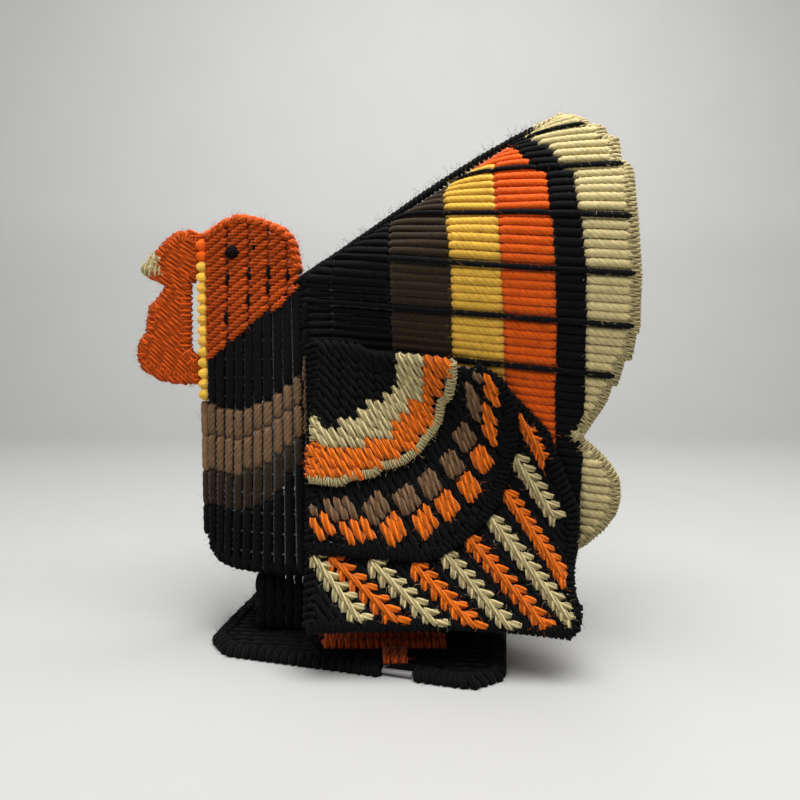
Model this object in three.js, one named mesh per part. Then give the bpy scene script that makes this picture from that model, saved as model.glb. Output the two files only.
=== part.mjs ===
// Turkey figure sewn from panels of plastic canvas.
// Millimetres. +X runs towards the tail, -Y is the bird's left side, +Z is up.
// The origin lies on the floor, in the middle plane, under the body.
import * as THREE from 'three';
import { mergeVertices } from 'three/addons/utils/BufferGeometryUtils.js';

// Canvas and yarn
const bodyCell = 3.63;        // one hole of the canvas of the head, breast and wings
const tailCell = 3.18;        // one hole of the canvas of the tail sides
const panelThickness = 2.4;   // canvas with the yarn on it
const seamGap = 0.3;          // space left between two pieces that are sewn together
const rowDepth = 0.45;        // how deep the valley between two rows of yarn is
const beadHalfWidth = 1.6;    // overcast edge, measured in the panel's plane
const beadHalfHeight = 1.75;  // overcast edge, measured across the panel
const edgingHalfWidth = 1.3;  // the wings' finer overcast edge, in the panel's plane
const edgingHalfHeight = panelThickness / 2;
const edgingSides = 6;

// Tail side: a flat half fan, bent round a cone whose tip is the point where the neck ends
const apexX = -39;
const apexZ = 136;
const ridgeAngle = 45;        // the seam on the bird's back, on the flat canvas, in degrees
const frontAngle = -90;       // the seam behind the breast, on the flat canvas, in degrees
const topRow = 27.6;          // rows of tail canvas above the tip of the cone
const bottomRow = -36;        // rows of tail canvas below it

// Where the fan's rays point once the canvas is bent: flat angle, turn outwards, rise
const fanKeys = [
  { flat: 68, turn: -20, rise: 15.5 },
  { flat: 45, turn: 0, rise: 32 },
  { flat: 22, turn: 20, rise: 15.5 },
  { flat: 5, turn: 22, rise: -0.8 },
  { flat: -26, turn: 16, rise: -28.5 },
  { flat: -45, turn: 12.5, rise: -46 },
];
const frontSeamLean = { along: 0.05, out: -0.15, down: -0.987 };

// Rim of the tail, from the bottom to the back: row, and cells from the front seam
const rimOutline = [
  [-36, 28.4], [-31.5, 31.2], [-29.3, 34.5], [-27.2, 36.5], [-25.2, 37.4], [-23.4, 37.9], [-21.2, 38],
  [-19.8, 37.4], [-18.4, 36.2], [-16.8, 33.8], [-13, 36.1], [-9.5, 37.8], [-6.3, 38.6],
  [-3.1, 39.1], [3.5, 39], [9.5, 38.3], [14.8, 37.2], [16.6, 35.9], [18.6, 35.1],
  [20.4, 33.4], [22.3, 31.6], [24.4, 29.8], [27.6, 27.9],
];

// Head, neck and breast
const headFrontX = -75.9;     // front edge of the panel at the head
const breastFrontX = -74.6;   // front edge of the panel at its foot
const breastFootZ = 25;
const headTop = [
  [0, 151.6], [0.1, 154.4], [0.2, 157.4], [0.34, 159.9], [0.5, 158.9], [0.64, 156.7],
  [0.8, 153.6], [0.91, 150.4], [0.97, 144.5], [1, 139.4],
];
const breastFoot = [[0, 31], [0.06, 27.2], [0.16, 25], [1, 25]];
const breastColumns = 10;

// Beak, snood and wattle, one flat piece in the middle plane: mm ahead of the throat's seam, and Z
const beakOutline = [
  [0.2, 155], [4, 156.4], [8, 156.2], [13, 153], [16.5, 149], [21, 144.5], [22.6, 140.5], [21, 137.2],
  [17, 136.2], [11.5, 137], [14.2, 133], [17, 129], [19.8, 126.2], [20.6, 120], [21.2, 116], [23.8, 112.3],
  [24.4, 106], [21.5, 101], [16, 97.8], [10, 96], [5, 95.4], [0.2, 95.5], [0.2, 105.4], [3.4, 109],
  [3.4, 134.5], [0.2, 137],
];

// Eye: a knot of yarn on the head panel
const eyeRadius = 2.3;
const eyePlace = { x: -66.5, z: 147.2 };

// Wings: rows and cells of body canvas, laid over the tail sides
const wingFlare = 24;         // how far the foot of the lowest wing stands off
const flareStart = 36;        // below the tip of the cone: wings lie close above this
const flareEnd = 127;
const wingStart = 0.8;        // cells behind the front seam
const wingFacet = 3;          // most cells between two points of a wing's face
const layerGap = 0.65;        // space between a wing and what it lies on
const upperWing = [
  [-21.2, 4.6], [-20.4, 7.8], [-19.4, 9.9], [-18.2, 11.9], [-17, 12.9], [-15.6, 14.1],
  [-13.2, 15.8], [-11, 16.6], [-9, 17.3], [-7.2, 17.6],
];
const middleWing = [
  [-28.2, 12.6], [-27.6, 14.8], [-26.4, 16.8], [-23.8, 19.9], [-21.4, 21.7], [-18.6, 22.8],
  [-15.4, 23.7], [-12.6, 23.8], [-10.6, 23.3], [-9, 22.3], [-7.6, 20],
];
const lowerWing = [
  [-34, 27.6], [-33.2, 28.6], [-31, 29], [-30.3, 28.3], [-28.5, 28.3], [-25.2, 29.5], [-21.6, 29.7],
  [-17.1, 27.7], [-14.4, 26.7], [-9.6, 21.9],
];

// Floor of the body, pedestal and base
const floorZ = breastFootZ;
const floorEndCells = 27;     // cells of tail canvas from the front seam to the floor's rear edge
const pedestal = { front: -54, rear: 22, halfWidth: 13.5 };
const base = {
  front: -67, rear: 36, frontHalf: 29, rearHalf: 50, cornerCut: 8, thickness: 3, turn: -3,
};
const foot = {
  front: -28, rear: 15, inner: 15, outer: 28, toeFront: -6, toeRear: 3, toeOut: 39, height: 1.8,
};

// Materials
function yarn(color, roughness = 0.95) {
  return new THREE.MeshStandardMaterial({ color, roughness, metalness: 0 });
}
const blackYarn = yarn(0x0b0a0a);
const orangeYarn = yarn(0xd9500f);
const goldYarn = yarn(0xd9a23a);
const creamYarn = yarn(0xb8a873);
const brownYarn = yarn(0x5a4233);

const group = new THREE.Group();

function addPiece(name, geometry, material) {
  const mesh = new THREE.Mesh(geometry, material);
  mesh.name = name;
  group.add(mesh);
  return mesh;
}

// Straight-line reading of a list of [key, value] pairs in rising order of key
function readCurve(pairs, key) {
  if (key <= pairs[0][0]) return pairs[0][1];
  for (let i = 1; i < pairs.length; i += 1) {
    const [k0, v0] = pairs[i - 1];
    const [k1, v1] = pairs[i];
    if (key <= k1) return v0 + (v1 - v0) * (key - k0) / (k1 - k0);
  }
  return pairs[pairs.length - 1][1];
}

const degrees = (radians) => radians * 180 / Math.PI;
const radians = (angle) => angle * Math.PI / 180;

// Direction of a ray that is turned outwards, to the bird's left, and raised
function rayDirection(turn, rise) {
  const t = radians(turn);
  const r = radians(rise);
  return new THREE.Vector3(Math.cos(r) * Math.cos(t), -Math.cos(r) * Math.sin(t), Math.sin(r));
}

const fanRays = fanKeys.map((key) => ({ flat: key.flat, ray: rayDirection(key.turn, key.rise) }));
fanRays.push({
  flat: frontAngle,
  ray: new THREE.Vector3(frontSeamLean.along, frontSeamLean.out, frontSeamLean.down).normalize(),
});

// Slope of the bent fan at one of its keys
function fanSlope(i) {
  const before = fanRays[i - 1];
  const after = fanRays[Math.min(i + 1, fanRays.length - 1)];
  return after.ray.clone().sub(before.ray).divideScalar(after.flat - before.flat);
}

// Direction in space of the canvas ray at a flat angle, by cubic steps between the keys
function fanDirection(flat) {
  const angle = Math.min(ridgeAngle, Math.max(frontAngle, flat));
  let i = 1;
  while (i < fanRays.length - 2 && angle < fanRays[i + 1].flat) i += 1;
  const step = fanRays[i + 1].flat - fanRays[i].flat;
  const t = (angle - fanRays[i].flat) / step;
  const point = new THREE.Vector3();
  point.addScaledVector(fanRays[i].ray, 2 * t ** 3 - 3 * t ** 2 + 1);
  point.addScaledVector(fanSlope(i), (t ** 3 - 2 * t ** 2 + t) * step);
  point.addScaledVector(fanRays[i + 1].ray, 3 * t ** 2 - 2 * t ** 3);
  point.addScaledVector(fanSlope(i + 1), (t ** 3 - t ** 2) * step);
  return point.normalize();
}

const apex = new THREE.Vector3(apexX, -(panelThickness + seamGap / 2), apexZ);

// Outward normal of the bent canvas along one ray
function fanNormal(flat) {
  const angle = Math.min(ridgeAngle, Math.max(frontAngle, flat));
  const above = fanDirection(angle + 0.5);
  const below = fanDirection(angle - 0.5);
  return below.sub(above).cross(fanDirection(angle)).normalize();
}

// Point of the bent canvas: along is mm behind the front seam, up is mm above the cone's tip
function fanPoint(along, up, out = 0) {
  const reach = Math.hypot(along, up);
  const flat = reach > 0 ? degrees(Math.atan2(up, along)) : frontAngle / 2;
  const point = apex.clone().addScaledVector(fanDirection(flat), reach);
  return point.addScaledVector(fanNormal(flat), out);
}

// A wing lies over the tail side and stands off more and more towards its foot
function wingPoint(along, up, out) {
  const drop = Math.max(0, -up - flareStart) / (flareEnd - flareStart);
  return fanPoint(along, up, out + wingFlare * drop ** 2);
}

// Volume inside a closed mesh: negative when its faces point in
function signedVolume(positions, index) {
  const [a, b, c] = [new THREE.Vector3(), new THREE.Vector3(), new THREE.Vector3()];
  let sum = 0;
  for (let i = 0; i < index.length; i += 3) {
    a.fromArray(positions, index[i] * 3);
    b.fromArray(positions, index[i + 1] * 3);
    c.fromArray(positions, index[i + 2] * 3);
    sum += a.dot(b.cross(c)) / 6;
  }
  return sum;
}

// Closed mesh from points and triangles, without doubled points or empty triangles
function solid(points, triangles) {
  let geometry = new THREE.BufferGeometry();
  geometry.setAttribute('position', new THREE.Float32BufferAttribute(points.flatMap((p) => p.toArray()), 3));
  geometry.setIndex(triangles);
  geometry = mergeVertices(geometry, 1e-3);
  const merged = Array.from(geometry.index.array);
  const kept = [];
  for (let i = 0; i < merged.length; i += 3) {
    const [a, b, c] = merged.slice(i, i + 3);
    if (a !== b && b !== c && c !== a) kept.push(a, b, c);
  }
  const inward = signedVolume(geometry.attributes.position.array, kept) < 0;
  if (inward) {
    for (let i = 0; i < kept.length; i += 3) [kept[i], kept[i + 1]] = [kept[i + 1], kept[i]];
  }
  geometry.setIndex(kept);
  geometry.computeVertexNormals();
  return geometry;
}

// Sheet with two faces, each a grid of lines and points, and a closed edge all round
function sheet(lines, across, face) {
  const points = [];
  const triangles = [];
  const at = (side, i, j) => (side * lines + i) * across + j;
  for (const side of [0, 1]) {
    for (let i = 0; i < lines; i += 1) {
      for (let j = 0; j < across; j += 1) points.push(face(i, j, side === 1));
    }
  }
  const quad = (a, b, c, d) => triangles.push(a, b, c, a, c, d);
  for (let i = 0; i < lines - 1; i += 1) {
    for (let j = 0; j < across - 1; j += 1) {
      quad(at(0, i, j), at(0, i, j + 1), at(0, i + 1, j + 1), at(0, i + 1, j));
      quad(at(1, i, j), at(1, i + 1, j), at(1, i + 1, j + 1), at(1, i, j + 1));
    }
    quad(at(0, i, 0), at(0, i + 1, 0), at(1, i + 1, 0), at(1, i, 0));
    quad(at(0, i + 1, across - 1), at(0, i, across - 1), at(1, i, across - 1), at(1, i + 1, across - 1));
  }
  for (let j = 0; j < across - 1; j += 1) {
    quad(at(0, 0, j + 1), at(0, 0, j), at(1, 0, j), at(1, 0, j + 1));
    quad(at(0, lines - 1, j), at(0, lines - 1, j + 1), at(1, lines - 1, j + 1), at(1, lines - 1, j));
  }
  return solid(points, triangles);
}

// The same piece for the bird's right side
function mirrored(geometry) {
  const positions = geometry.attributes.position;
  const points = [];
  for (let i = 0; i < positions.count; i += 1) {
    points.push(new THREE.Vector3(positions.getX(i), -positions.getY(i), positions.getZ(i)));
  }
  return solid(points, Array.from(geometry.index.array));
}

// A left piece and its mirror image
function addPair(name, geometry, material) {
  addPiece(`${name}_left`, geometry, material);
  addPiece(`${name}_right`, mirrored(geometry), material);
}

// Overcast edge: an oval bar along a path of places, each with a point and a normal
function bead(places, halfWidth, halfHeight, sides = 8) {
  const points = [];
  const triangles = [];
  places.forEach((place, i) => {
    const before = places[Math.max(0, i - 1)].point;
    const after = places[Math.min(places.length - 1, i + 1)].point;
    const forward = after.clone().sub(before).normalize();
    const side = forward.clone().cross(place.normal).normalize();
    const up = side.clone().cross(forward).normalize();
    for (let k = 0; k < sides; k += 1) {
      const angle = 2 * Math.PI * (k + 0.5) / sides;
      points.push(place.point.clone()
        .addScaledVector(side, halfWidth * Math.cos(angle))
        .addScaledVector(up, halfHeight * Math.sin(angle)));
    }
  });
  const last = (places.length - 1) * sides;
  for (let i = 0; i < last; i += sides) {
    for (let k = 0; k < sides; k += 1) {
      const next = (k + 1) % sides;
      triangles.push(i + k, i + next, i + sides + next, i + k, i + sides + next, i + sides + k);
    }
  }
  for (let k = 1; k < sides - 1; k += 1) {
    triangles.push(0, k + 1, k, last, last + k, last + k + 1);
  }
  return solid(points, triangles);
}

// Outline moved outwards by a distance, with mitred corners
function offsetOutline(outline, distance) {
  return outline.map((point, i) => {
    const before = outline[Math.max(0, i - 1)];
    const after = outline[Math.min(outline.length - 1, i + 1)];
    const from = i === 0 ? point.clone().multiplyScalar(2).sub(after) : before;
    const first = point.clone().sub(from).normalize();
    const second = (i === outline.length - 1 ? first.clone() : after.clone().sub(point)).normalize();
    const normal = new THREE.Vector2(first.y + second.y, -(first.x + second.x));
    return point.clone().addScaledVector(normal, distance / (1 + first.dot(second)));
  });
}

// Outline with extra points, none further apart than a step
function subdivided(outline, step) {
  const result = [outline[0].clone()];
  for (let i = 1; i < outline.length; i += 1) {
    const count = Math.max(1, Math.round(outline[i].distanceTo(outline[i - 1]) / step));
    for (let k = 1; k <= count; k += 1) result.push(outline[i - 1].clone().lerp(outline[i], k / count));
  }
  return result;
}

// Tail sides

const rowShares = [0, 0.1, 0.25, 0.45, 0.7, 1];

// Rows of canvas, each with a line in the valley and one on the crest
function rowLines(bottom, top, perRow) {
  const lines = [];
  const count = Math.round((top - bottom) * perRow);
  for (let i = 0; i <= count; i += 1) lines.push(bottom + (top - bottom) * i / count);
  return lines;
}

// Near the cone's tip the canvas is pinched, so that its inner face doesn't cross itself
function pinchedThickness(along, up) {
  return panelThickness * Math.min(1, 0.3 + Math.hypot(along, up) / 11);
}

function tailSide() {
  const lines = rowLines(bottomRow, topRow, 2);
  return sheet(lines.length, rowShares.length, (i, j, inner) => {
    const row = lines[i];
    const start = Math.max(0, row);
    const end = readCurve(rimOutline, row);
    const along = (start + (end - start) * rowShares[j]) * tailCell;
    const up = row * tailCell;
    const valley = i % 2 === 0 ? rowDepth : 0;
    return fanPoint(along, up, inner ? -pinchedThickness(along, up) : -valley);
  });
}

function rimPlaces() {
  const outline = rimOutline.map(([row, cells]) => new THREE.Vector2(cells * tailCell, row * tailCell));
  const moved = offsetOutline(outline, beadHalfWidth + seamGap);
  return subdivided(moved, 2 * tailCell).map((p) => ({
    point: fanPoint(p.x, p.y, -panelThickness / 2),
    normal: fanNormal(degrees(Math.atan2(p.y, p.x))),
  }));
}

addPair('tail_side', tailSide(), blackYarn);
addPair('rim_binding', bead(rimPlaces(), beadHalfWidth, beadHalfHeight, edgingSides), creamYarn);

// Seam on the back: black yarn laid between the two tail sides
function ridgePlaces() {
  const normal = fanNormal(ridgeAngle);
  const start = 1.5 * tailCell;
  const end = topRow * tailCell * Math.SQRT2;
  const places = [];
  const count = 20;
  for (let i = 0; i <= count; i += 1) {
    const point = fanPoint(0, 0).addScaledVector(fanDirection(ridgeAngle), start + (end - start) * i / count);
    point.addScaledVector(normal, -panelThickness / 2 + seamGap);
    point.y = 0;
    places.push({ point, normal });
  }
  return places;
}
const seamHalfWidth = panelThickness + seamGap / 2 - seamGap;
addPiece('ridge_binding', bead(ridgePlaces(), seamHalfWidth, beadHalfHeight), blackYarn);

// Head, neck and breast

// The front seam line of the tail side at a height, seen from above
function seamPlace(z) {
  const lean = fanRays[fanRays.length - 1].ray;
  const reach = Math.max(0, (z - apexZ) / lean.z);
  return { x: apexX + lean.x * reach - seamGap, y: -apex.y - lean.y * reach };
}

const headShare = (z) => Math.min(1, Math.max(0, (z - breastFootZ) / (apexZ - breastFootZ)));
const frontX = (z) => breastFrontX + (headFrontX - breastFrontX) * headShare(z);

// Point of the breast panel: share 0 is its front edge and share 1 its rear edge
function breastPoint(share, z, out = 0) {
  const seam = seamPlace(z);
  const length = seam.x - frontX(z);
  const width = Math.max(0.01, seam.y + apex.y);
  const turn = 2 * Math.atan2(width, length);
  const radius = length / Math.sin(turn);
  const angle = turn * (1 - share);
  const x = seam.x - radius * Math.sin(angle) - out * Math.sin(angle);
  const y = -(seam.y - radius * (1 - Math.cos(angle))) - out * Math.cos(angle);
  return new THREE.Vector3(x, y, z);
}

const heightShares = [0, 0.08, 0.2, 0.35, 0.5, 0.65, 0.78, 0.88, 0.95, 1];

function breastPanel() {
  const lines = breastColumns * 2 + 1;
  return sheet(lines, heightShares.length, (i, j, inner) => {
    const share = i / (lines - 1);
    const low = readCurve(breastFoot, share);
    const high = readCurve(headTop, share);
    const valley = i % 2 === 0 ? rowDepth : 0;
    return breastPoint(share, low + (high - low) * heightShares[j], inner ? -panelThickness : -valley);
  });
}
addPair('head_breast', breastPanel(), blackYarn);

// Seam down the throat and breast, and the edge over the crown
function throatPlaces() {
  const places = [];
  const low = breastFoot[0][1];
  const high = headTop[0][1] - seamGap;
  const count = 24;
  for (let i = 0; i <= count; i += 1) {
    const z = low + (high - low) * i / count;
    const point = new THREE.Vector3(frontX(z) - seamGap - beadHalfHeight, 0, z);
    places.push({ point, normal: new THREE.Vector3(-1, 0, 0) });
  }
  return places;
}

function crownPlaces() {
  const outline = headTop.map(([share, z]) => new THREE.Vector2(breastPoint(share, z).x, z)).reverse();
  const moved = offsetOutline(outline, beadHalfHeight + seamGap);
  return subdivided(moved, bodyCell).map((p, i, all) => {
    const before = all[Math.max(0, i - 1)];
    const after = all[Math.min(all.length - 1, i + 1)];
    const along = after.clone().sub(before).normalize();
    return { point: new THREE.Vector3(p.x, 0, p.y), normal: new THREE.Vector3(along.y, 0, -along.x) };
  });
}
addPiece('throat_binding', bead(throatPlaces(), seamHalfWidth, beadHalfHeight), goldYarn);
addPiece('crown_binding', bead(crownPlaces(), seamHalfWidth, beadHalfHeight), orangeYarn);

// Beak, snood and wattle

const throatFrontX = headFrontX - seamGap - 2 * beadHalfHeight - seamGap;

function beakShape() {
  const shape = new THREE.Shape();
  beakOutline.forEach(([ahead, z], i) => {
    if (i === 0) shape.moveTo(throatFrontX - ahead, z);
    else shape.lineTo(throatFrontX - ahead, z);
  });
  shape.closePath();
  return shape;
}

// Flat piece standing in the middle plane, its shape drawn in X and Z
function standingPlate(shape, thickness) {
  const geometry = new THREE.ExtrudeGeometry(shape, { depth: thickness, bevelEnabled: false });
  geometry.rotateX(Math.PI / 2);
  geometry.translate(0, thickness / 2, 0);
  return cleaned(geometry);
}

// Closed copy of a geometry that has doubled points along its edges
function cleaned(geometry) {
  geometry.deleteAttribute('normal');
  geometry.deleteAttribute('uv');
  const merged = mergeVertices(geometry, 1e-3);
  const positions = merged.attributes.position;
  const points = [];
  for (let i = 0; i < positions.count; i += 1) points.push(new THREE.Vector3().fromBufferAttribute(positions, i));
  return solid(points, Array.from(merged.index.array));
}
addPiece('beak_wattle', standingPlate(beakShape(), panelThickness), orangeYarn);

// Eye: a round knot of black yarn on the head panel
function eye() {
  const profile = [new THREE.Vector2(0, 0)];
  const steps = 5;
  for (let i = 0; i <= steps; i += 1) {
    const angle = (Math.PI / 2) * i / steps;
    profile.push(new THREE.Vector2(eyeRadius * Math.cos(angle), 1.5 * Math.sin(angle)));
  }
  profile[profile.length - 1].x = 0;
  const geometry = new THREE.LatheGeometry(profile, 14);
  geometry.rotateX(Math.PI);
  return cleaned(geometry);
}

function placedEye() {
  const geometry = eye();
  const share = (eyePlace.x - frontX(eyePlace.z)) / (seamPlace(eyePlace.z).x - frontX(eyePlace.z));
  const seat = breastPoint(share, eyePlace.z, seamGap);
  geometry.translate(seat.x, seat.y, seat.z);
  return geometry;
}
addPair('eye', placedEye(), blackYarn);

// Wings

// How far the inner face of a wing lies above the tail side: layer 0 lies next to it
const wingLift = (layer) => layerGap + layer * (panelThickness + layerGap);

// The outline's own rows, with more between them where they lie far apart
function wingRows(outline) {
  const rows = [outline[0][0]];
  for (let i = 1; i < outline.length; i += 1) {
    const [low, high] = [outline[i - 1][0], outline[i][0]];
    const count = Math.ceil((high - low) / wingFacet);
    for (let k = 1; k <= count; k += 1) rows.push(low + (high - low) * k / count);
  }
  return rows;
}

function wingPanel(outline, layer) {
  const rows = wingRows(outline);
  const widest = Math.max(...outline.map((pair) => pair[1]));
  const columns = Math.ceil(widest / wingFacet) + 1;
  const lift = wingLift(layer);
  return sheet(rows.length, columns, (i, j, inner) => {
    const end = readCurve(outline, rows[i]);
    const cells = j === columns - 1 ? end : Math.min(end, wingStart + j * wingFacet);
    return wingPoint(cells * bodyCell, rows[i] * bodyCell, inner ? lift : lift + panelThickness);
  });
}

// Overcast edge along a wing's foot and rear edge
function wingEdging(outline, layer) {
  const foot = new THREE.Vector2(wingStart * bodyCell, outline[0][0] * bodyCell);
  const rear = outline.map(([row, cells]) => new THREE.Vector2(cells * bodyCell, row * bodyCell));
  const moved = offsetOutline([foot, ...rear], edgingHalfWidth + layerGap);
  return bead(subdivided(moved, 2.5 * bodyCell).map((p) => ({
    point: wingPoint(p.x, p.y, wingLift(layer) + panelThickness / 2),
    normal: fanNormal(degrees(Math.atan2(p.y, p.x))),
  })), edgingHalfWidth, edgingHalfHeight, edgingSides);
}
addPair('wing_lower', wingPanel(lowerWing, 0), blackYarn);
addPair('wing_middle', wingPanel(middleWing, 1), blackYarn);
addPair('wing_upper', wingPanel(upperWing, 2), brownYarn);
addPair('wing_lower_edging', wingEdging(lowerWing, 0), blackYarn);
addPair('wing_middle_edging', wingEdging(middleWing, 1), blackYarn);
addPair('wing_upper_edging', wingEdging(upperWing, 2), creamYarn);

// Floor of the body, pedestal, base and feet

// Flat piece lying level, its shape drawn in X and Y
function lyingPlate(shape, z, thickness) {
  const geometry = new THREE.ExtrudeGeometry(shape, { depth: thickness, bevelEnabled: false, curveSegments: 4 });
  geometry.translate(0, 0, z);
  return cleaned(geometry);
}

// Place on the inside of the tail side at a height, a number of cells behind the front seam
function tailWallAt(cells, z) {
  let [low, high] = [bottomRow * 1.2, 0];
  const inside = -(panelThickness + seamGap);
  for (let i = 0; i < 30; i += 1) {
    const middle = (low + high) / 2;
    if (fanPoint(cells * tailCell, middle * tailCell, inside).z < z) low = middle;
    else high = middle;
  }
  return fanPoint(cells * tailCell, low * tailCell, inside);
}

// Whichever of a wall's places at the floor's two faces lies nearer the middle plane
function innerOf(placeAt) {
  const places = [placeAt(floorZ), placeAt(floorZ + panelThickness)];
  return places[0].y > places[1].y ? places[0] : places[1];
}

function floorShape() {
  const side = [];
  for (const share of [0.2, 0.35, 0.5, 0.65, 0.8, 0.95]) {
    side.push(innerOf((z) => breastPoint(share, z, -(panelThickness + seamGap))));
  }
  for (let cells = 2; cells <= floorEndCells; cells += 5) side.push(innerOf((z) => tailWallAt(cells, z)));
  const shape = new THREE.Shape();
  side.forEach((p, i) => (i === 0 ? shape.moveTo(p.x, p.y) : shape.lineTo(p.x, p.y)));
  side.reverse().forEach((p) => shape.lineTo(p.x, -p.y));
  shape.closePath();
  return shape;
}
addPiece('body_floor', lyingPlate(floorShape(), floorZ, panelThickness), blackYarn);

function box(x0, x1, y0, y1, z0, z1) {
  const geometry = new THREE.BoxGeometry(x1 - x0, y1 - y0, z1 - z0);
  geometry.translate((x0 + x1) / 2, (y0 + y1) / 2, (z0 + z1) / 2);
  return cleaned(geometry);
}

const pedestalFoot = base.thickness + seamGap;
const pedestalTop = floorZ - seamGap;

// The four walls of the pedestal: its ends stand between its sides
function pedestalWall(x0, x1, y0, y1) {
  return box(x0, x1, y0, y1, pedestalFoot, pedestalTop);
}
const { front, rear, halfWidth } = pedestal;
const endHalf = halfWidth - panelThickness - seamGap;
addPair('pedestal_side', pedestalWall(front, rear, -halfWidth, -halfWidth + panelThickness), blackYarn);
addPiece('pedestal_front', pedestalWall(front, front + panelThickness, -endHalf, endHalf), blackYarn);
addPiece('pedestal_back', pedestalWall(rear - panelThickness, rear, -endHalf, endHalf), blackYarn);

// Base plate: wider at the rear, with cut corners, and sewn on a little askew
function basePlate() {
  const shape = new THREE.Shape();
  const cut = base.cornerCut;
  const taper = (base.rearHalf - base.frontHalf) / (base.rear - base.front);
  const side = [
    [base.front, base.frontHalf - cut], [base.front + cut, base.frontHalf + taper * cut],
    [base.rear - cut, base.rearHalf - taper * cut], [base.rear, base.rearHalf - cut],
  ];
  side.forEach(([x, half], i) => (i === 0 ? shape.moveTo(x, -half) : shape.lineTo(x, -half)));
  side.reverse().forEach(([x, half]) => shape.lineTo(x, half));
  shape.closePath();
  const geometry = lyingPlate(shape, 0, base.thickness);
  geometry.rotateZ(radians(base.turn));
  return geometry;
}
addPiece('base_plate', basePlate(), blackYarn);

// Foot: a strip beside the pedestal and one toe towards the base's edge
function footPad() {
  const shape = new THREE.Shape();
  shape.moveTo(foot.front, -foot.inner);
  shape.lineTo(foot.rear, -foot.inner);
  shape.lineTo(foot.rear, -foot.outer);
  shape.lineTo(foot.toeRear, -foot.outer);
  shape.lineTo(foot.toeRear, -foot.toeOut);
  shape.lineTo(foot.toeFront, -foot.toeOut);
  shape.lineTo(foot.toeFront, -foot.outer);
  shape.lineTo(foot.front, -foot.outer);
  shape.closePath();
  return lyingPlate(shape, base.thickness + seamGap, foot.height);
}
addPair('foot', footPad(), orangeYarn);

export default group;
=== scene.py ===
"""Turkey figure sewn from stitched plastic canvas, dressed round its solid model.

Every panel is a sheet of canvas with yarn worked over it. The paths of the yarn are laid out here, stitch
by stitch, and a Geometry Nodes tree twists a strand of yarn along each path. Lengths are in millimetres on
the canvas and are turned into metres when a piece is made.
"""
import math

import bpy
import numpy as np
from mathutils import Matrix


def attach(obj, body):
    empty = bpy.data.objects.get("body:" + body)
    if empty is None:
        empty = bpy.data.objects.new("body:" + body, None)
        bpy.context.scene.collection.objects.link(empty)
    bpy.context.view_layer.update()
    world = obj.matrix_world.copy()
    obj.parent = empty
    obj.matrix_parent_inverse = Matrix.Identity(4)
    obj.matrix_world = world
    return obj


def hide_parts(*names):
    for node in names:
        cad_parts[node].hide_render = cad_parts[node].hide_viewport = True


bl_info = {
    "name": "Plastic canvas turkey",
    "version": (1, 0, 0),
    "blender": (4, 5, 0),
    "location": "View3D > Sidebar > Turkey",
    "description": "Stitches the panels of a plastic canvas turkey and sets its stage",
    "category": "Add Mesh",
}

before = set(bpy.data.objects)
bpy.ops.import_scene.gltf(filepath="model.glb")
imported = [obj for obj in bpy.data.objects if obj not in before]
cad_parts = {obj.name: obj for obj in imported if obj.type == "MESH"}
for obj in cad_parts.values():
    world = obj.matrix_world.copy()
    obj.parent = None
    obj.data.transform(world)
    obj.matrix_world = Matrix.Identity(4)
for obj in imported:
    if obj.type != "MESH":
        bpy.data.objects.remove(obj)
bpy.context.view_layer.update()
# Millimetres in metres
MM = 0.001
SIDES = ("left", "right")

# Canvas, in millimetres
BODY_CELL = 3.63
TAIL_CELL = 3.18
CANVAS_MIDDLE = -1.2
CANVAS_HALF = 0.6
PANEL_THICKNESS = 2.4
SEAM_GAP = 0.3

# The tail side is a flat half fan, bent round a cone whose tip is at the back of the neck. Each key of the
# bend is an angle on the flat canvas, in degrees, with its ray's turn outwards and its rise
APEX = np.array([-39.0, -(PANEL_THICKNESS + SEAM_GAP / 2), 136.0])
RIDGE_ANGLE = 45.0
FRONT_ANGLE = -90.0
FAN_KEYS = [
    (-45, 12.5, -46), (-26, 16, -28.5), (5, 22, -0.8), (22, 20, 15.5), (45, 0, 32), (68, -20, 15.5),
]
FRONT_SEAM_LEAN = (0.05, -0.15, -0.987)
TOP_ROW = 26
BOTTOM_ROW = -36
# The tail's rim, as (row, cell) from the foot up
RIM_OUTLINE = [
    (-36, 28.4), (-31.5, 31.2), (-29.3, 34.5), (-27.2, 36.5), (-25.2, 37.7), (-23.4, 38.1), (-21.2, 37.9),
    (-19.8, 37.1), (-18.4, 35.8), (-16.8, 33.8), (-14.6, 35), (-13, 35.9), (-11.6, 36.6), (-9.6, 37.1),
    (-9.4, 37.7), (-6.4, 38.3), (-6.2, 39), (-3.2, 39.3), (-3, 39.6), (3.5, 39.3), (9, 38.4),
    (14.8, 37.1), (15.7, 36.5), (16, 35.6), (19.1, 34.9), (19.4, 33.7), (21, 33.2), (21.3, 31.8),
    (22.3, 31.2), (24.1, 29.3), (26.6, 26.9),
]

# Head, neck and breast
HEAD_FRONT_X = -75.9
BREAST_FRONT_X = -74.6
BREAST_FOOT_Z = 25.0
# Heights of the top of the head and of the breast's foot, at shares of the panel's width
HEAD_TOP = [
    (0, 153), (0.1, 155.3), (0.2, 157.8), (0.34, 159.9), (0.5, 159), (0.64, 157.3), (0.8, 155),
    (0.91, 151.6), (0.97, 145), (1, 139.4),
]
BREAST_FOOT = [(0, 35.2), (0.05, 30.3), (0.13, 27.4), (0.3, 26.2), (1, 25.7)]
BREAST_COLUMNS = 10

# Wings: the gap between two layers, and how far and between which drops they stand off towards their feet
LAYER_GAP = 0.65
WING_FLARE = 24.0
FLARE_START = 36.0
FLARE_END = 127.0
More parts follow.
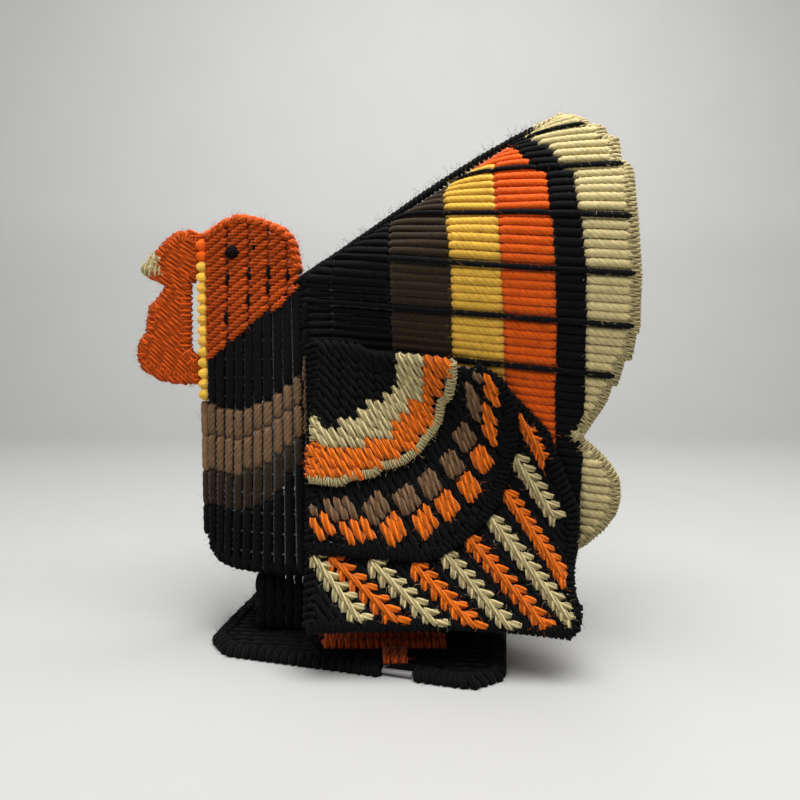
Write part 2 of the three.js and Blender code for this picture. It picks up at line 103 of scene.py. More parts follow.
# The wings' outlines, as (row, cell) from the foot up
UPPER_WING = [
    (-21.3, 4.4), (-20.7, 5.5), (-20.35, 8.1), (-19.6, 8.8), (-19.4, 10.1), (-18.9, 11.4), (-17.5, 13.2),
    (-16.6, 13.8), (-15.6, 14.7), (-13.9, 15.9), (-13, 16.2), (-11.6, 16.5), (-10.9, 17.3), (-9, 17.7),
    (-7.2, 17.8),
]
MIDDLE_WING = [
    (-28.2, 12.6), (-27.6, 14.8), (-26.4, 16.8), (-23.8, 19.9), (-21.4, 21.7), (-18.6, 22.8),
    (-15.4, 23.7), (-12.6, 23.8), (-10.6, 23.3), (-9, 22.3), (-7.6, 20),
]
LOWER_WING = [
    (-33.6, 27.4), (-32.8, 28.4), (-31.2, 28.9), (-30.4, 28.4), (-28.5, 28.5), (-25.2, 29.5),
    (-21.6, 29.7), (-17.1, 27.7), (-14.4, 26.7), (-9.6, 21.9),
]


def read_curve(pairs, key):
    """Straight-line reading of (key, value) pairs in rising order of key."""
    return float(np.interp(key, *zip(*pairs)))


# The bent surfaces


def ray_direction(turn, rise):
    """Direction that is turned outwards, to the bird's left, and raised."""
    t, r = math.radians(turn), math.radians(rise)
    return np.array([math.cos(r) * math.cos(t), -math.cos(r) * math.sin(t), math.sin(r)])


def unit(vectors):
    """The same vectors with length 1."""
    return vectors / np.linalg.norm(vectors, axis=-1, keepdims=True)


FAN_FLATS = np.array([FRONT_ANGLE] + [key[0] for key in FAN_KEYS])
FAN_RAYS = np.array([unit(np.array(FRONT_SEAM_LEAN))] + [ray_direction(k[1], k[2]) for k in FAN_KEYS])


def fan_slopes():
    """Slope of the bent fan at each of its keys."""
    slopes = np.zeros_like(FAN_RAYS)
    spans = (FAN_FLATS[2:] - FAN_FLATS[:-2])[:, None]
    slopes[1:-1] = (FAN_RAYS[2:] - FAN_RAYS[:-2]) / spans
    slopes[0] = (FAN_RAYS[1] - FAN_RAYS[0]) / (FAN_FLATS[1] - FAN_FLATS[0])
    return slopes


FAN_SLOPES = fan_slopes()


def fan_direction(flat):
    """Directions in space of the canvas rays at flat angles, by cubic steps between the keys."""
    flat = np.clip(np.asarray(flat, float), FRONT_ANGLE, RIDGE_ANGLE)
    i = np.clip(np.searchsorted(FAN_FLATS, flat, side="right") - 1, 0, len(FAN_FLATS) - 3)
    step = (FAN_FLATS[i + 1] - FAN_FLATS[i])[..., None]
    t = (flat[..., None] - FAN_FLATS[i][..., None]) / step
    point = FAN_RAYS[i] * (2 * t**3 - 3 * t**2 + 1) + FAN_SLOPES[i] * (t**3 - 2 * t**2 + t) * step
    point += FAN_RAYS[i + 1] * (3 * t**2 - 2 * t**3) + FAN_SLOPES[i + 1] * (t**3 - t**2) * step
    return unit(point)


def fan_normal(flat):
    """Outward normals of the bent canvas along rays at flat angles."""
    flat = np.clip(np.asarray(flat, float), FRONT_ANGLE, RIDGE_ANGLE)
    across = fan_direction(flat - 0.5) - fan_direction(flat + 0.5)
    return unit(np.cross(across, fan_direction(flat)))


def fan_point(along, up, out):
    """Points of the bent canvas: along is behind the front seam, up is above the cone's tip."""
    along, up, out = np.broadcast_arrays(np.asarray(along, float), up, out)
    reach = np.hypot(along, up)
    flat = np.degrees(np.arctan2(up, along))
    return APEX + fan_direction(flat) * reach[..., None] + fan_normal(flat) * out[..., None]


def tail_surface(column, row, out):
    """The left tail side, in cells of its canvas."""
    return fan_point(np.asarray(column) * TAIL_CELL, np.asarray(row) * TAIL_CELL, out)


def wing_surface(layer):
    """One layer of the left wing, in cells of its canvas."""
    lift = LAYER_GAP + layer * (PANEL_THICKNESS + LAYER_GAP) + PANEL_THICKNESS

    def surface(column, row, out):
        up = np.asarray(row, float) * BODY_CELL
        drop = np.maximum(0, -up - FLARE_START) / (FLARE_END - FLARE_START)
        return fan_point(np.asarray(column) * BODY_CELL, up, out + lift + WING_FLARE * drop**2)

    return surface


def seam_place(z):
    """X and half width of the seam behind the breast, at heights."""
    lean = FAN_RAYS[0]
    reach = np.maximum(0, (z - APEX[2]) / lean[2])
    return APEX[0] + lean[0] * reach - SEAM_GAP, -APEX[1] - lean[1] * reach


def front_x(z):
    """X of the breast panel's front edge, at heights."""
    share = np.clip((z - BREAST_FOOT_Z) / (APEX[2] - BREAST_FOOT_Z), 0, 1)
    return BREAST_FRONT_X + (HEAD_FRONT_X - BREAST_FRONT_X) * share


def breast_surface(column, row, out):
    """The left head, neck and breast panel: columns from its front edge, rows above the floor."""
    column, row, out = np.broadcast_arrays(np.asarray(column, float), np.asarray(row, float), out)
    share, z = column / BREAST_COLUMNS, row * BODY_CELL
    seam_x, seam_y = seam_place(z)
    length = seam_x - front_x(z)
    width = np.maximum(0.01, seam_y + APEX[1])
    turn = 2 * np.arctan2(width, length)
    radius = length / np.sin(turn)
    angle = turn * (1 - share)
    x = seam_x - radius * np.sin(angle) - out * np.sin(angle)
    y = -(seam_y - radius * (1 - np.cos(angle))) - out * np.cos(angle)
    return np.stack([x, y, z], axis=-1)


# Paths of yarn

# Length in which the plies turn once: loosely spun, tightly spun, and on the head
LONG_TURN = 24.0
TIGHT_TURN = 9.0
HEAD_TURN = 7.0
# How deep the grooves between the plies are in the smooth yarn of the tail
SMOOTH_PLY = 0.08
FIBRE_LENGTH = 0.003
# How the backs of the panels, the bars of the canvas and the round yarn of the front seam are made
BACK_YARN = {"plies": 3, "fibre_density": 0.0}
BAR = {"plies": 2, "ply_depth": 0.3, "fibre_density": 0.0, "turn_length": 1e6}
ROUND_YARN = {"plies": 6, "ply_depth": 0.05}
# Space between the points of a path, and between those of a bar of the canvas
STEP = 1.2
BAR_STEP = 4
# Length in which a stitch rises from its hole, the height of its arch, and its random waver
RISE_LENGTH = 1.5
ARCH = 0.12
WAVER = (0.08, 0.08, 0.2)
# The shortest stitch that is sewn where an outline cuts it off
SHORTEST = 0.7
# How far along its lean a path is compared with the surface, to find its upper side
LEAN_STEP = 0.3
# Half width and half height of the canvas bars
BAR_SIZE = (0.42, 0.5)
BARE_BAR_SIZE = (0.9, 1.1)
# Stitches: half width, half height, lift over the canvas, depth of the tucked ends, space between points
STITCHES = {
    "tail": (1.7, 1.15, 0.15, 1.05, 0.85),
    "thin_tail": (1.35, 0.95, 0.15, 1.05, 0.85),
    "rib": (1.2, 0.9, 0.95, 0.8, STEP),
    "knot": (1.1, 0.9, 1.3, 0.8, STEP),
    "breast_front": (1.9, 2.2, 0, 0, STEP),
    "breast": (1.82, 1.2, 0.15, 1.05, STEP),
    "head": (1.72, 1.25, 0.3, 1.05, 0.7),
    "neck_mark": (0.95, 0.9, 0.8, 0.7, STEP),
    "side_seam": (1.65, 1.25, 0.9, 1.05, STEP),
    "eye": (1.3, 1.0, 1.9, 0.9, STEP),
    "upper_wing": (1.5, 1.15, 0.15, 1.05, STEP),
    "middle_wing": (1.6, 1.1, -0.2, 1.05, STEP),
    "wing_block": (1.7, 1.25, 0.6, 0.8, STEP),
    "lower_wing": (1.5, 1.0, -0.45, 1.05, STEP),
    "barb": (1.42, 1.1, 0.45, 0.6, 0.8),
    "spine": (1.15, 1.0, 1.35, 1.2, STEP),
    "beak": (1.35, 1.1, 0.2, 1.05, STEP),
    "beak_tip": (1.4, 1.1, 0.4, 1.05, STEP),
    "base": (1.75, 1.0, -0.45, 1.05, 2.2),
    "pedestal": (1.75, 1.05, -0.3, 1.05, 2.0),
    "floor": (1.7, 1.0, -0.3, 1.05, 2.5),
    "foot": (1.55, 1.15, -1.1, 1.05, STEP),
    "toe": (1.6, 1.1, -1.1, 1.05, STEP),
}
# Overcast loops: half width, half height, reach inwards, slant, pitch
LOOPS = {
    "edge": (1.15, 0.9, 0.75, 0.5, 0.6),
    "rim": (0.95, 0.85, 0.8, 0.5, 0.54),
    "breast_rear": (1.3, 0.8, 0.5, 0.5, 0.6),
    "thin_edge": (0.78, 0.85, 0.38, 0.5, 0.4),
    "wing_front": (1.2, 1.0, 0.75, 0.5, 0.62),
    "wing_corner": (1.2, 1.0, 1.2, 0.5, 0.62),
    "beak_edge": (1.4, 1.15, 2.0, 1.4, 2.3),
    "base_edge": (1.7, 0.95, 3.2, 1.6, 3.0),
}
# Loops over the middle seams: half width, half height, half span, reach outwards, slant, pitch
SEAMS = {
    "ridge": (1.35, 1.0, 3.2, 1.3, 2.6, 2.1),
    "throat": (2.85, 1.9, 2.6, 1.1, -0.5, 4.05),
    "crown": (1.95, 1.35, 3.3, 1.6, 2.2, 2.9),
}


class Yarns:
    """Paths of yarn on one surface, sorted by colour. The cell is the size of one step on the surface."""

    def __init__(self, surface, seed, cell=BODY_CELL):
        self.surface = surface
        self.cell = cell
        self.random = np.random.default_rng(seed)
        self.paths = {}

    def path(self, yarn, columns, rows, outs, wide, high, lean=(0, 0, 1)):
        """Adds one path through points on the surface, with its half width, half height and lean."""
        ones = np.ones(len(columns))
        lean = np.stack([ones * part for part in lean], axis=-1)
        shade, start = self.random.random(), self.random.random() * LONG_TURN
        line = (columns, *(ones * part for part in (rows, outs, wide, high, shade, start)), lean)
        self.paths.setdefault(yarn, []).append(line)

    def backed(self):
        """The same paths on the back face of the canvas, with fewer points."""
        other = Yarns(self.surface, 5, self.cell)
        for yarn, paths in self.paths.items():
            for line in paths:
                pick = np.unique(np.append(np.arange(0, len(line[0]), 2), len(line[0]) - 1))
                columns, rows, outs, *sizes, lean = (part[pick] for part in line)
                turned = (columns, rows, 2 * CANVAS_MIDDLE - outs, *sizes, lean * [1, 1, -1])
                other.paths.setdefault(yarn, []).append(turned)
        return other

    def stitch(self, yarn, start, end, kind, lift=None):
        """One straight stitch between two holes, tucked into them at its thinner ends."""
        wide, high, usual_lift, tuck, step = STITCHES[kind]
        length = math.dist(start, end) * self.cell
        t = np.linspace(0, 1, max(5, int(length / step) + 1))
        rise = np.clip(np.minimum(t, 1 - t) * length / RISE_LENGTH, 0, 1)
        rise = rise * rise * (3 - 2 * rise)
        waver = (self.random.random(3) - 0.5) * WAVER
        columns = start[0] + (end[0] - start[0]) * t + waver[0] * np.sin(t * 3.1)
        rows = start[1] + (end[1] - start[1]) * t + waver[1] * np.sin(t * 3.1)
        lift = usual_lift if lift is None else lift
        outs = lift - tuck * (1 - rise) + (ARCH + waver[2]) * np.sin(math.pi * t)
        self.path(yarn, columns, rows, outs, wide * (0.78 + 0.22 * rise), high * (0.85 + 0.15 * rise))

    def loop(self, yarn, edge, outward, forward, kind):
        """One overcast loop round an edge of the canvas, from its front face to its back."""
        wide, high, reach, slant, _ = LOOPS[kind]
        t = np.linspace(0, 1, 10)
        angle = math.pi * (1.1 * t - 0.05)
        inward = reach * (np.abs(2 * t - 1) ** 1.6)
        offset = np.sin(angle) * high * 1.15 / self.cell - inward + 0.4 / self.cell
        columns = edge[0] + outward[0] * offset + slant * forward[0] * (t - 0.5)
        rows = edge[1] + outward[1] * offset + slant * forward[1] * (t - 0.5)
        outs = CANVAS_MIDDLE + (CANVAS_HALF + high * 0.95) * np.cos(angle)
        near_edge = 1 - np.abs(2 * t - 1) ** 2
        lean = (outward[0] * near_edge / self.cell, outward[1] * near_edge / self.cell, np.cos(angle))
        self.path(yarn, columns, rows, outs, wide, high, lean)

    def seam_loop(self, yarn, place, outward, forward, kind, looseness):
        """One overcast loop over a seam in the middle plane, where places are X and Z."""
        wide, high, half, reach, slant, _ = SEAMS[kind]
        t = np.linspace(0, 1, 12)
        angle = math.pi * 1.25 * (t - 0.5)
        wide = wide * (1 - 0.45 * np.abs(2 * t - 1) ** 3)
        offset = reach * looseness * np.cos(angle)
        columns = place[0] + outward[0] * offset + forward[0] * slant * (t - 0.5)
        rows = place[1] + outward[1] * offset + forward[1] * slant * (t - 0.5)
        lean = (outward[0] * np.cos(angle), outward[1] * np.cos(angle), np.sin(angle))
        self.path(yarn, columns, rows, half * np.sin(angle), wide, high, lean)


def clipped(start, end, inside):
    """The part of a straight stitch that lies inside a region, or None where it is too short."""
    start, end = np.array(start, float), np.array(end, float)
    points = start + (end - start) * np.linspace(0, 1, 25)[:, None]
    held = np.flatnonzero([inside(c, r) for c, r in points])
    if len(held) < 2:
        return None
    first, last = points[held[0]], points[held[-1]]
    return (first, last) if np.linalg.norm(last - first) >= SHORTEST else None


def lined_mesh(name, yarns, paths, mirror):
    """Mesh of bare lines along the paths of one colour, with what the yarn tree reads."""
    columns, rows, outs, wides, highs, shades, along, leans = (np.concatenate(parts) for parts in zip(*paths))
    counts = np.array([len(line[0]) for line in paths])
    total = len(columns)
    firsts = np.cumsum(counts) - counts
    points = yarns.surface(columns, rows, outs)
    leans = leans * LEAN_STEP
    ups = unit(yarns.surface(columns + leans[:, 0], rows + leans[:, 1], outs + leans[:, 2]) - points)
    starts = np.setdiff1d(np.arange(total), firsts + counts - 1)
    edges = np.stack([starts, starts + 1], axis=-1)
    run = np.zeros(total)
    run[starts + 1] = np.linalg.norm(points[starts + 1] - points[starts], axis=1)
    run = np.cumsum(run)
    along = along + run - run[np.repeat(firsts, counts)]
    if mirror:
        points, ups, along = points * [1, -1, 1], ups * [1, -1, 1], -along
    mesh = bpy.data.meshes.new(name)
    mesh.vertices.add(total)
    mesh.edges.add(len(edges))
    mesh.vertices.foreach_set("co", (points * MM).astype(np.float32).ravel())
    mesh.edges.foreach_set("vertices", edges.astype(np.int32).ravel())
    upward = mesh.attributes.new("up", "FLOAT_VECTOR", "POINT")
    upward.data.foreach_set("vector", ups.astype(np.float32).ravel())
    for key, values in (("wide", wides), ("high", highs), ("along", along), ("shade", shades)):
        mesh.attributes.new(key, "FLOAT", "POINT").data.foreach_set("value", values.astype(np.float32))
    mesh.update()
    return mesh


# Geometry Nodes trees


class Tree:
    """A node tree under construction, with short calls for its nodes and links."""

    def __init__(self, tree):
        self.tree = tree

    def add(self, kind, settings=None, **inputs):
        """A new node. In the names of inputs an underscore stands for a space, and _0 is the first input."""
        node = self.tree.nodes.new(kind)
        for key, value in (settings or {}).items():
            setattr(node, key, value)
        for key, value in inputs.items():
            self.feed(node, key.replace("_", " ").strip(), value)
        return node

    def feed(self, node, key, value):
        """Sets an input to a value, or links it to a socket or to a node's first output."""
        socket = node.inputs[int(key)] if key.isdigit() else node.inputs[key]
        if isinstance(value, bpy.types.Node):
            value = value.outputs[0]
        if isinstance(value, bpy.types.NodeSocket):
            self.tree.links.new(value, socket)
        else:
            socket.default_value = value

    def math(self, operation, *values):
        """Result of a sum on numbers."""
        node = self.add("ShaderNodeMath", {"operation": operation})
        for i, value in enumerate(values):
            self.feed(node, str(i), value)
        return node.outputs[0]

    def vector(self, operation, *values):
        """Result of a sum on vectors."""
        node = self.add("ShaderNodeVectorMath", {"operation": operation})
        for i, value in enumerate(values):
            self.feed(node, "Scale" if operation == "SCALE" and i else str(i), value)
        return node.outputs["Value" if operation in ("DOT_PRODUCT", "LENGTH") else "Vector"]

    def named(self, name, kind):
        """Reads a named attribute of the geometry."""
        node = self.add("GeometryNodeInputNamedAttribute", {"data_type": kind}, Name=name)
        return node.outputs["Attribute"]

    def keep_places(self, geometry, name):
        """Stores the place of every point under a name."""
        return self.add(
            "GeometryNodeStoreNamedAttribute", {"data_type": "FLOAT_VECTOR", "domain": "POINT"},
            Geometry=geometry, Name=name, Value=self.add("GeometryNodeInputPosition"),
        )


def yarn_tree():
    """Twisted strands of yarn along bare lines, with loose fibres standing out of them."""
    tree = bpy.data.node_groups.new("Twisted yarn", "GeometryNodeTree")
    b = Tree(tree)
    tree.interface.new_socket("Geometry", in_out="OUTPUT", socket_type="NodeSocketGeometry")
    for name, kind, default in (
        ("Lines", "Geometry", None), ("Material", "Material", None), ("Plies", "Int", 4), ("Seed", "Int", 1),
        ("Ply depth", "Float", 0.2), ("Turn length", "Float", LONG_TURN),
        ("Fibre density", "Float", 100000.0), ("Fibre length", "Float", 0.0036),
    ):
        item = tree.interface.new_socket(name, in_out="INPUT", socket_type=f"NodeSocket{kind}")
        if default is not None:
            item.default_value = default
    given = tree.nodes.new("NodeGroupInput").outputs
    centred = b.keep_places(b.add("GeometryNodeMeshToCurve", Mesh=given["Lines"]), "centre")
    turns = b.math("DIVIDE", b.named("along", "FLOAT"), given["Turn length"])
    tilted = b.add("GeometryNodeSetCurveTilt", Curve=centred, Tilt=b.math("MULTIPLY", turns, 2 * math.pi))
    groove = b.math("MULTIPLY", b.math("SUBTRACT", 1.0, given["Ply depth"]), MM)
    star = b.add("GeometryNodeCurveStar", Points=given["Plies"], Outer_Radius=MM, Inner_Radius=groove)
    ring = b.keep_places(star.outputs["Curve"], "ring")
    swept = b.add("GeometryNodeCurveToMesh", Curve=tilted, Profile_Curve=ring, Fill_Caps=True)
    centre, up = b.named("centre", "FLOAT_VECTOR"), b.named("up", "FLOAT_VECTOR")
    offset = b.vector("SUBTRACT", b.add("GeometryNodeInputPosition"), centre)
    rising = b.vector("SCALE", up, b.vector("DOT_PRODUCT", offset, up))
    across = b.vector("SCALE", b.vector("SUBTRACT", offset, rising), b.named("wide", "FLOAT"))
    rising = b.vector("SCALE", rising, b.named("high", "FLOAT"))
    place = b.vector("ADD", centre, b.vector("ADD", across, rising))
    shaped = b.add("GeometryNodeSetPosition", Geometry=swept, Position=place)
    smooth = b.add("GeometryNodeSetShadeSmooth", Geometry=shaped)
    joined = b.add("GeometryNodeJoinGeometry", _0=fibre_branch(b, given, smooth))
    b.feed(joined, "0", smooth)
    solid = b.add("GeometryNodeRealizeInstances", Geometry=joined)
    b.add("NodeGroupOutput", _0=b.add("GeometryNodeSetMaterial", Geometry=solid, Material=given["Material"]))
    return tree


def fibre_branch(b, given, strands):
    """Loose fibres: short bent hairs that stand out of the strands at random."""
    seed, density, length = given["Seed"], given["Fibre density"], given["Fibre length"]
    points = b.add("GeometryNodeDistributePointsOnFaces", Mesh=strands, Density=density, Seed=seed)
    hair = b.add(
        "GeometryNodeCurvePrimitiveBezierSegment", Resolution=2, Start=(0, 0, -0.2),
        Start_Handle=(0, 0, 0.35), End_Handle=(0.3, 0, 0.7), End=(0.75, 0, 0.72),
    )
    section = b.add("GeometryNodeCurvePrimitiveCircle", Resolution=3, Radius=0.014)
    blade = b.add("GeometryNodeCurveToMesh", Curve=hair, Profile_Curve=section, Fill_Caps=False)
    spin = b.add(
        "FunctionNodeRandomValue", {"data_type": "FLOAT_VECTOR"},
        _0=(-0.7, -0.7, 0.0), _1=(0.7, 0.7, 2 * math.pi), Seed=seed,
    )
    turned = b.add("FunctionNodeRotateEuler", {"space": "LOCAL"}, _0=points.outputs["Rotation"], _1=spin)
    shortest = b.math("MULTIPLY", length, 0.35)
    size = b.add("FunctionNodeRandomValue", {"data_type": "FLOAT"}, _2=shortest, _3=length, Seed=seed)
    placed = b.add("GeometryNodeInstanceOnPoints", Points=points, Instance=blade, Rotation=turned)
    b.feed(placed, "Scale", size.outputs[1])
    return b.add("GeometryNodeRealizeInstances", Geometry=placed)


def set_input(modifier, name, value):
    """Sets a modifier's input by its socket's identifier."""
    for item in modifier.node_group.interface.items_tree:
        if item.item_type == "SOCKET" and item.in_out == "INPUT" and item.name == name:
            modifier[item.identifier] = value
            return
    raise KeyError(name)


def finished(name, obj, nodes):
    """Turns an evaluated object into a plain piece that rides on the part and stands for its nodes."""
    bpy.context.view_layer.update()
    graph = bpy.context.evaluated_depsgraph_get()
    mesh = bpy.data.meshes.new_from_object(obj.evaluated_get(graph), depsgraph=graph)
    mesh.name = name
    bpy.data.objects.remove(obj)
    piece = bpy.data.objects.new(name, mesh)
    bpy.context.collection.objects.link(piece)
    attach(piece, "root")
    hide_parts(*nodes)


def sewn(name, yarns, nodes, mirror=False, **spinning):
    """Makes one piece for each colour of yarn in a set of paths."""
    settings = bpy.context.scene.turkey_yarn
    tree = bpy.data.node_groups.get("Twisted yarn") or yarn_tree()
    inputs = {
        "ply_depth": settings.ply_depth, "plies": 4, "turn_length": LONG_TURN,
        "fibre_density": settings.fibre_density, "fibre_length": FIBRE_LENGTH, **spinning,
    }
    for number, (yarn, paths) in enumerate(sorted(yarns.paths.items())):
        title = f"{name}_{yarn}"
        obj = bpy.data.objects.new(title, lined_mesh(title, yarns, paths, mirror))
        bpy.context.collection.objects.link(obj)
        modifier = obj.modifiers.new("Yarn", "NODES")
        modifier.node_group = tree
        inputs.update(material=yarn_material(yarn), seed=number + 7)
        for key, value in inputs.items():
            set_input(modifier, key.replace("_", " ").capitalize(), value)
        finished(title, obj, nodes)


def sewn_pair(name, yarns, node, ending="", **spinning):
    """Makes the same pieces on both sides of the bird, each for its own side's node."""
    for side in SIDES:
        sewn(f"{name}_{side}{ending}", yarns, [f"{node}_{side}"], side == "right", **spinning)


def sewn_through(name, yarns, node, **spinning):
    """Makes the front and the back of a panel that has no twin."""
    sewn(name, yarns, [node], **spinning)
    sewn(f"{name}_back", yarns.backed(), [node], **BACK_YARN)


def sewn_panel(name, yarns, node, canvas, **spinning):
    """Makes the front, the back and the canvas of a panel, on both sides of the bird."""
    sewn_pair(name, yarns, node, **spinning)
    sewn_pair(name, yarns.backed(), node, "_back", **BACK_YARN)
    sewn_pair(name, canvas, node, **BAR)


# Materials


class ShaderTree(Tree):
    """The node tree of a new material."""

    def __init__(self, name):
        self.material = bpy.data.materials.new(name)
        self.material.use_nodes = True
        super().__init__(self.material.node_tree)
        self.tree.nodes.clear()

    def noise(self, where, scale, detail):
        """Cloudy noise at places."""
        return self.add("ShaderNodeTexNoise", Vector=where, Scale=scale, Detail=detail)

    def places(self):
        """Places on the object, in metres."""
        return self.add("ShaderNodeTexCoord").outputs["Object"]

    def painted(self, colour, **inputs):
        """The finished material: one shader in this colour."""
        shader = self.add("ShaderNodeBsdfPrincipled", Base_Color=colour, **inputs)
        self.add("ShaderNodeOutputMaterial", Surface=shader)
        return self.material


def yarn_material(yarn):
    """Woolly yarn: each strand a little lighter or darker, with fine streaks along its fibres, painted shade
    in the grooves between its plies and a painted highlight on their crests.
    """
    known = bpy.data.materials.get(f"{yarn}_yarn")
    if known or yarn in CANVAS_COLOURS:
        return known or canvas_material(yarn)
    b = ShaderTree(f"{yarn}_yarn")
    shade, along, ring = (
        b.add("ShaderNodeAttribute", {"attribute_name": key}).outputs for key in ("shade", "along", "ring"))
    lengthwise = b.math("MULTIPLY_ADD", along["Fac"], 0.35, b.math("MULTIPLY", shade["Fac"], 50.0))
    crosswise = b.vector("SCALE", ring["Vector"], 3200.0)
    streaks = b.noise(b.vector("ADD", crosswise, b.add("ShaderNodeCombineXYZ", Z=lengthwise)), 1.0, 3.0)
    streaks.inputs["Roughness"].default_value = 0.65
    blotch = b.noise(b.places(), 500.0, 2.0)
    # Painted shade: darker in the grooves between the plies, down to 0.4, with a painted highlight a little
    # over 1 on their crests
    depth = b.add(
        "ShaderNodeMapRange", Value=b.vector("LENGTH", ring["Vector"]),
        From_Min=0.00072, From_Max=0.00098, To_Min=0.4, To_Max=1.08,
    )
    light = b.math("MULTIPLY_ADD", shade["Fac"], 0.16, 0.84)
    light = b.math("MULTIPLY", light, b.math("MULTIPLY_ADD", blotch, 0.4, 0.8))
    light = b.math("MULTIPLY", light, b.math("MULTIPLY_ADD", streaks, 1.5, 0.25))
    light = b.math("MULTIPLY", light, depth)
    tint = b.vector("SCALE", tuple(getattr(bpy.context.scene.turkey_yarn, yarn)), light)
    bump = b.add("ShaderNodeBump", Height=streaks, Strength=0.6, Distance=0.0003)
    sheen = 0.02 if yarn == "black" else 0.12
    return b.painted(
        tint, Roughness=0.85, Normal=bump, Sheen_Weight=sheen, Sheen_Roughness=0.5, Specular_IOR_Level=0.08)


# Darkest and lightest colour of the canvas: under the yarn, darkened with painted shade, and bare
CANVAS_COLOURS = {
    "canvas": ((0.13, 0.13, 0.13, 1), (0.24, 0.24, 0.24, 1)),
    "bare_canvas": ((0.27, 0.25, 0.27, 1), (0.46, 0.43, 0.45, 1)),
}


def canvas_material(kind):
    """Clear plastic canvas: milky, a little glossy, faintly uneven; under the yarn its colour is darkened
    with painted shade.
    """
    b = ShaderTree(f"{kind}_yarn")
    ramp = b.add("ShaderNodeValToRGB", _0=b.noise(b.places(), 300.0, 2.0))
    for element, colour in zip(ramp.color_ramp.elements, CANVAS_COLOURS[kind]):
        element.color = colour
    return b.painted(ramp, Roughness=0.32, Transmission_Weight=0.35, IOR=1.49)


# Settings


def colour_property(name, default):
    """A colour of yarn that a user can change."""
    return bpy.props.FloatVectorProperty(
        name=name, description=f"Colour of the {name.lower()}", subtype="COLOR", size=3, min=0, max=1,
        default=default,
    )


class TurkeyYarn(bpy.types.PropertyGroup):
    """Yarn colours and how the yarn is spun."""

    black: colour_property("Black yarn", (0.005, 0.005, 0.006))
    orange: colour_property("Orange yarn", (0.82, 0.115, 0.006))
    # The wing orange is the same orange yarn as on the tail and head, painted lighter: painted light for the
    # stronger light on the wings
    wing_orange: colour_property("Bright orange yarn", (0.98, 0.2, 0.008))
    gold: colour_property("Gold yarn", (0.87, 0.51, 0.068))
    cream: colour_property("Cream yarn", (0.72, 0.595, 0.29))
    brown: colour_property("Brown yarn", (0.24, 0.132, 0.063))
    dark_brown: colour_property("Dark brown yarn", (0.036, 0.022, 0.010))
    ply_depth: bpy.props.FloatProperty(
        name="Ply depth", description="How deep the grooves between plies are", default=0.3, min=0, max=0.5
    )
    fibre_density: bpy.props.FloatProperty(
        name="Fibre density", description="Loose fibres on a square metre of yarn", default=170000.0, min=0
    )


class TurkeyStage(bpy.types.PropertyGroup):
    """Camera, floor and light."""

    camera_distance: bpy.props.FloatProperty(
        name="Camera distance", description="From the middle plane", default=0.285, min=0.1, unit="LENGTH"
    )
    camera_height: bpy.props.FloatProperty(
        name="Camera height", description="Above the floor", default=0.112, min=0.0, unit="LENGTH"
    )
    camera_turn: bpy.props.FloatProperty(
        name="Camera turn", description="Round the figure, towards its tail", default=0.0, unit="ROTATION"
    )
    frame_drop: bpy.props.FloatProperty(
        name="Frame drop", description="Shift of the frame, as a share of its width", default=-0.0725
    )
    floor_colour: bpy.props.FloatVectorProperty(
        name="Floor", description="Colour of the floor and backdrop", subtype="COLOR", size=3,
        default=(0.45, 0.45, 0.437),
    )


# Tail

# Where each colour of the tail ends, for rows in rising order: (row, cell)
BLACK_END = [(-9, 12), (-2, 12.2), (3, 11.8), (6.5, 10.6), (12, 9), (28, 9)]
DARK_BROWN_END = [
    (-8, 19.6), (-0.4, 19.6), (2.4, 19.3), (5.7, 18.7), (8, 17.8), (10.3, 16.9), (12.5, 16), (16, 15.6),
    (28, 16),
]
GOLD_END = [(-8.7, 25.8), (-1.9, 25.7), (4.4, 24.9), (8.2, 24.2), (10.5, 23.2), (13.3, 22.4), (16, 21.6)]
ORANGE_END = [
    (-15.4, 31.5), (-3.7, 31.6), (3.1, 31.1), (8.4, 30.2), (12.1, 29), (14.4, 28.4), (15.6, 26.9),
    (17.4, 25), (18.7, 24), (20.9, 21.9), (28, 19),
]
BLACK_STRIPE_END = [
    (-25.3, 34.3), (-18, 34.5), (-10.4, 34.8), (-1.8, 34.7), (3.3, 34.3), (8.5, 33.3), (11.5, 32.3),
    (14.6, 31.4), (15.6, 29.9), (18.5, 27.9), (19.8, 26), (22.4, 23.4), (28, 20.5),
]
TAIL_CURVES = [
    (BLACK_END, "black"), (DARK_BROWN_END, "dark_brown"), (GOLD_END, "gold"), (ORANGE_END, "orange"),
    (BLACK_STRIPE_END, "black"),
]
# Every row is black up to this cell, and ends this far from the rim
FRONT_END = 4
RIM_GAP = 0.25
# Lift of the tail's stitches under a rib
UNDER_RIB = -0.3
# Above this row there is no gold
GOLD_TOP = 17
RIB_ROWS = range(-9, TOP_ROW + 1, 6)
# Rows over the wing whose black yarn is thinner up to this cell
THIN_ROWS = range(-6, 0)
THIN_END = 10
# The knot in the notch of the rim
KNOT = (33.9, -16.3)


def tail_bands(v):
    """Where the colour bands of one tail row end, and the colours, from front seam to rim."""
    bands = [(round(read_curve(curve, v), 1), yarn) for curve, yarn in TAIL_CURVES]
    if v > GOLD_TOP:
        bands[2] = (bands[1][0], "gold")
    return [(FRONT_END, "black"), *bands, (read_curve(RIM_OUTLINE, v) - RIM_GAP, "cream")]


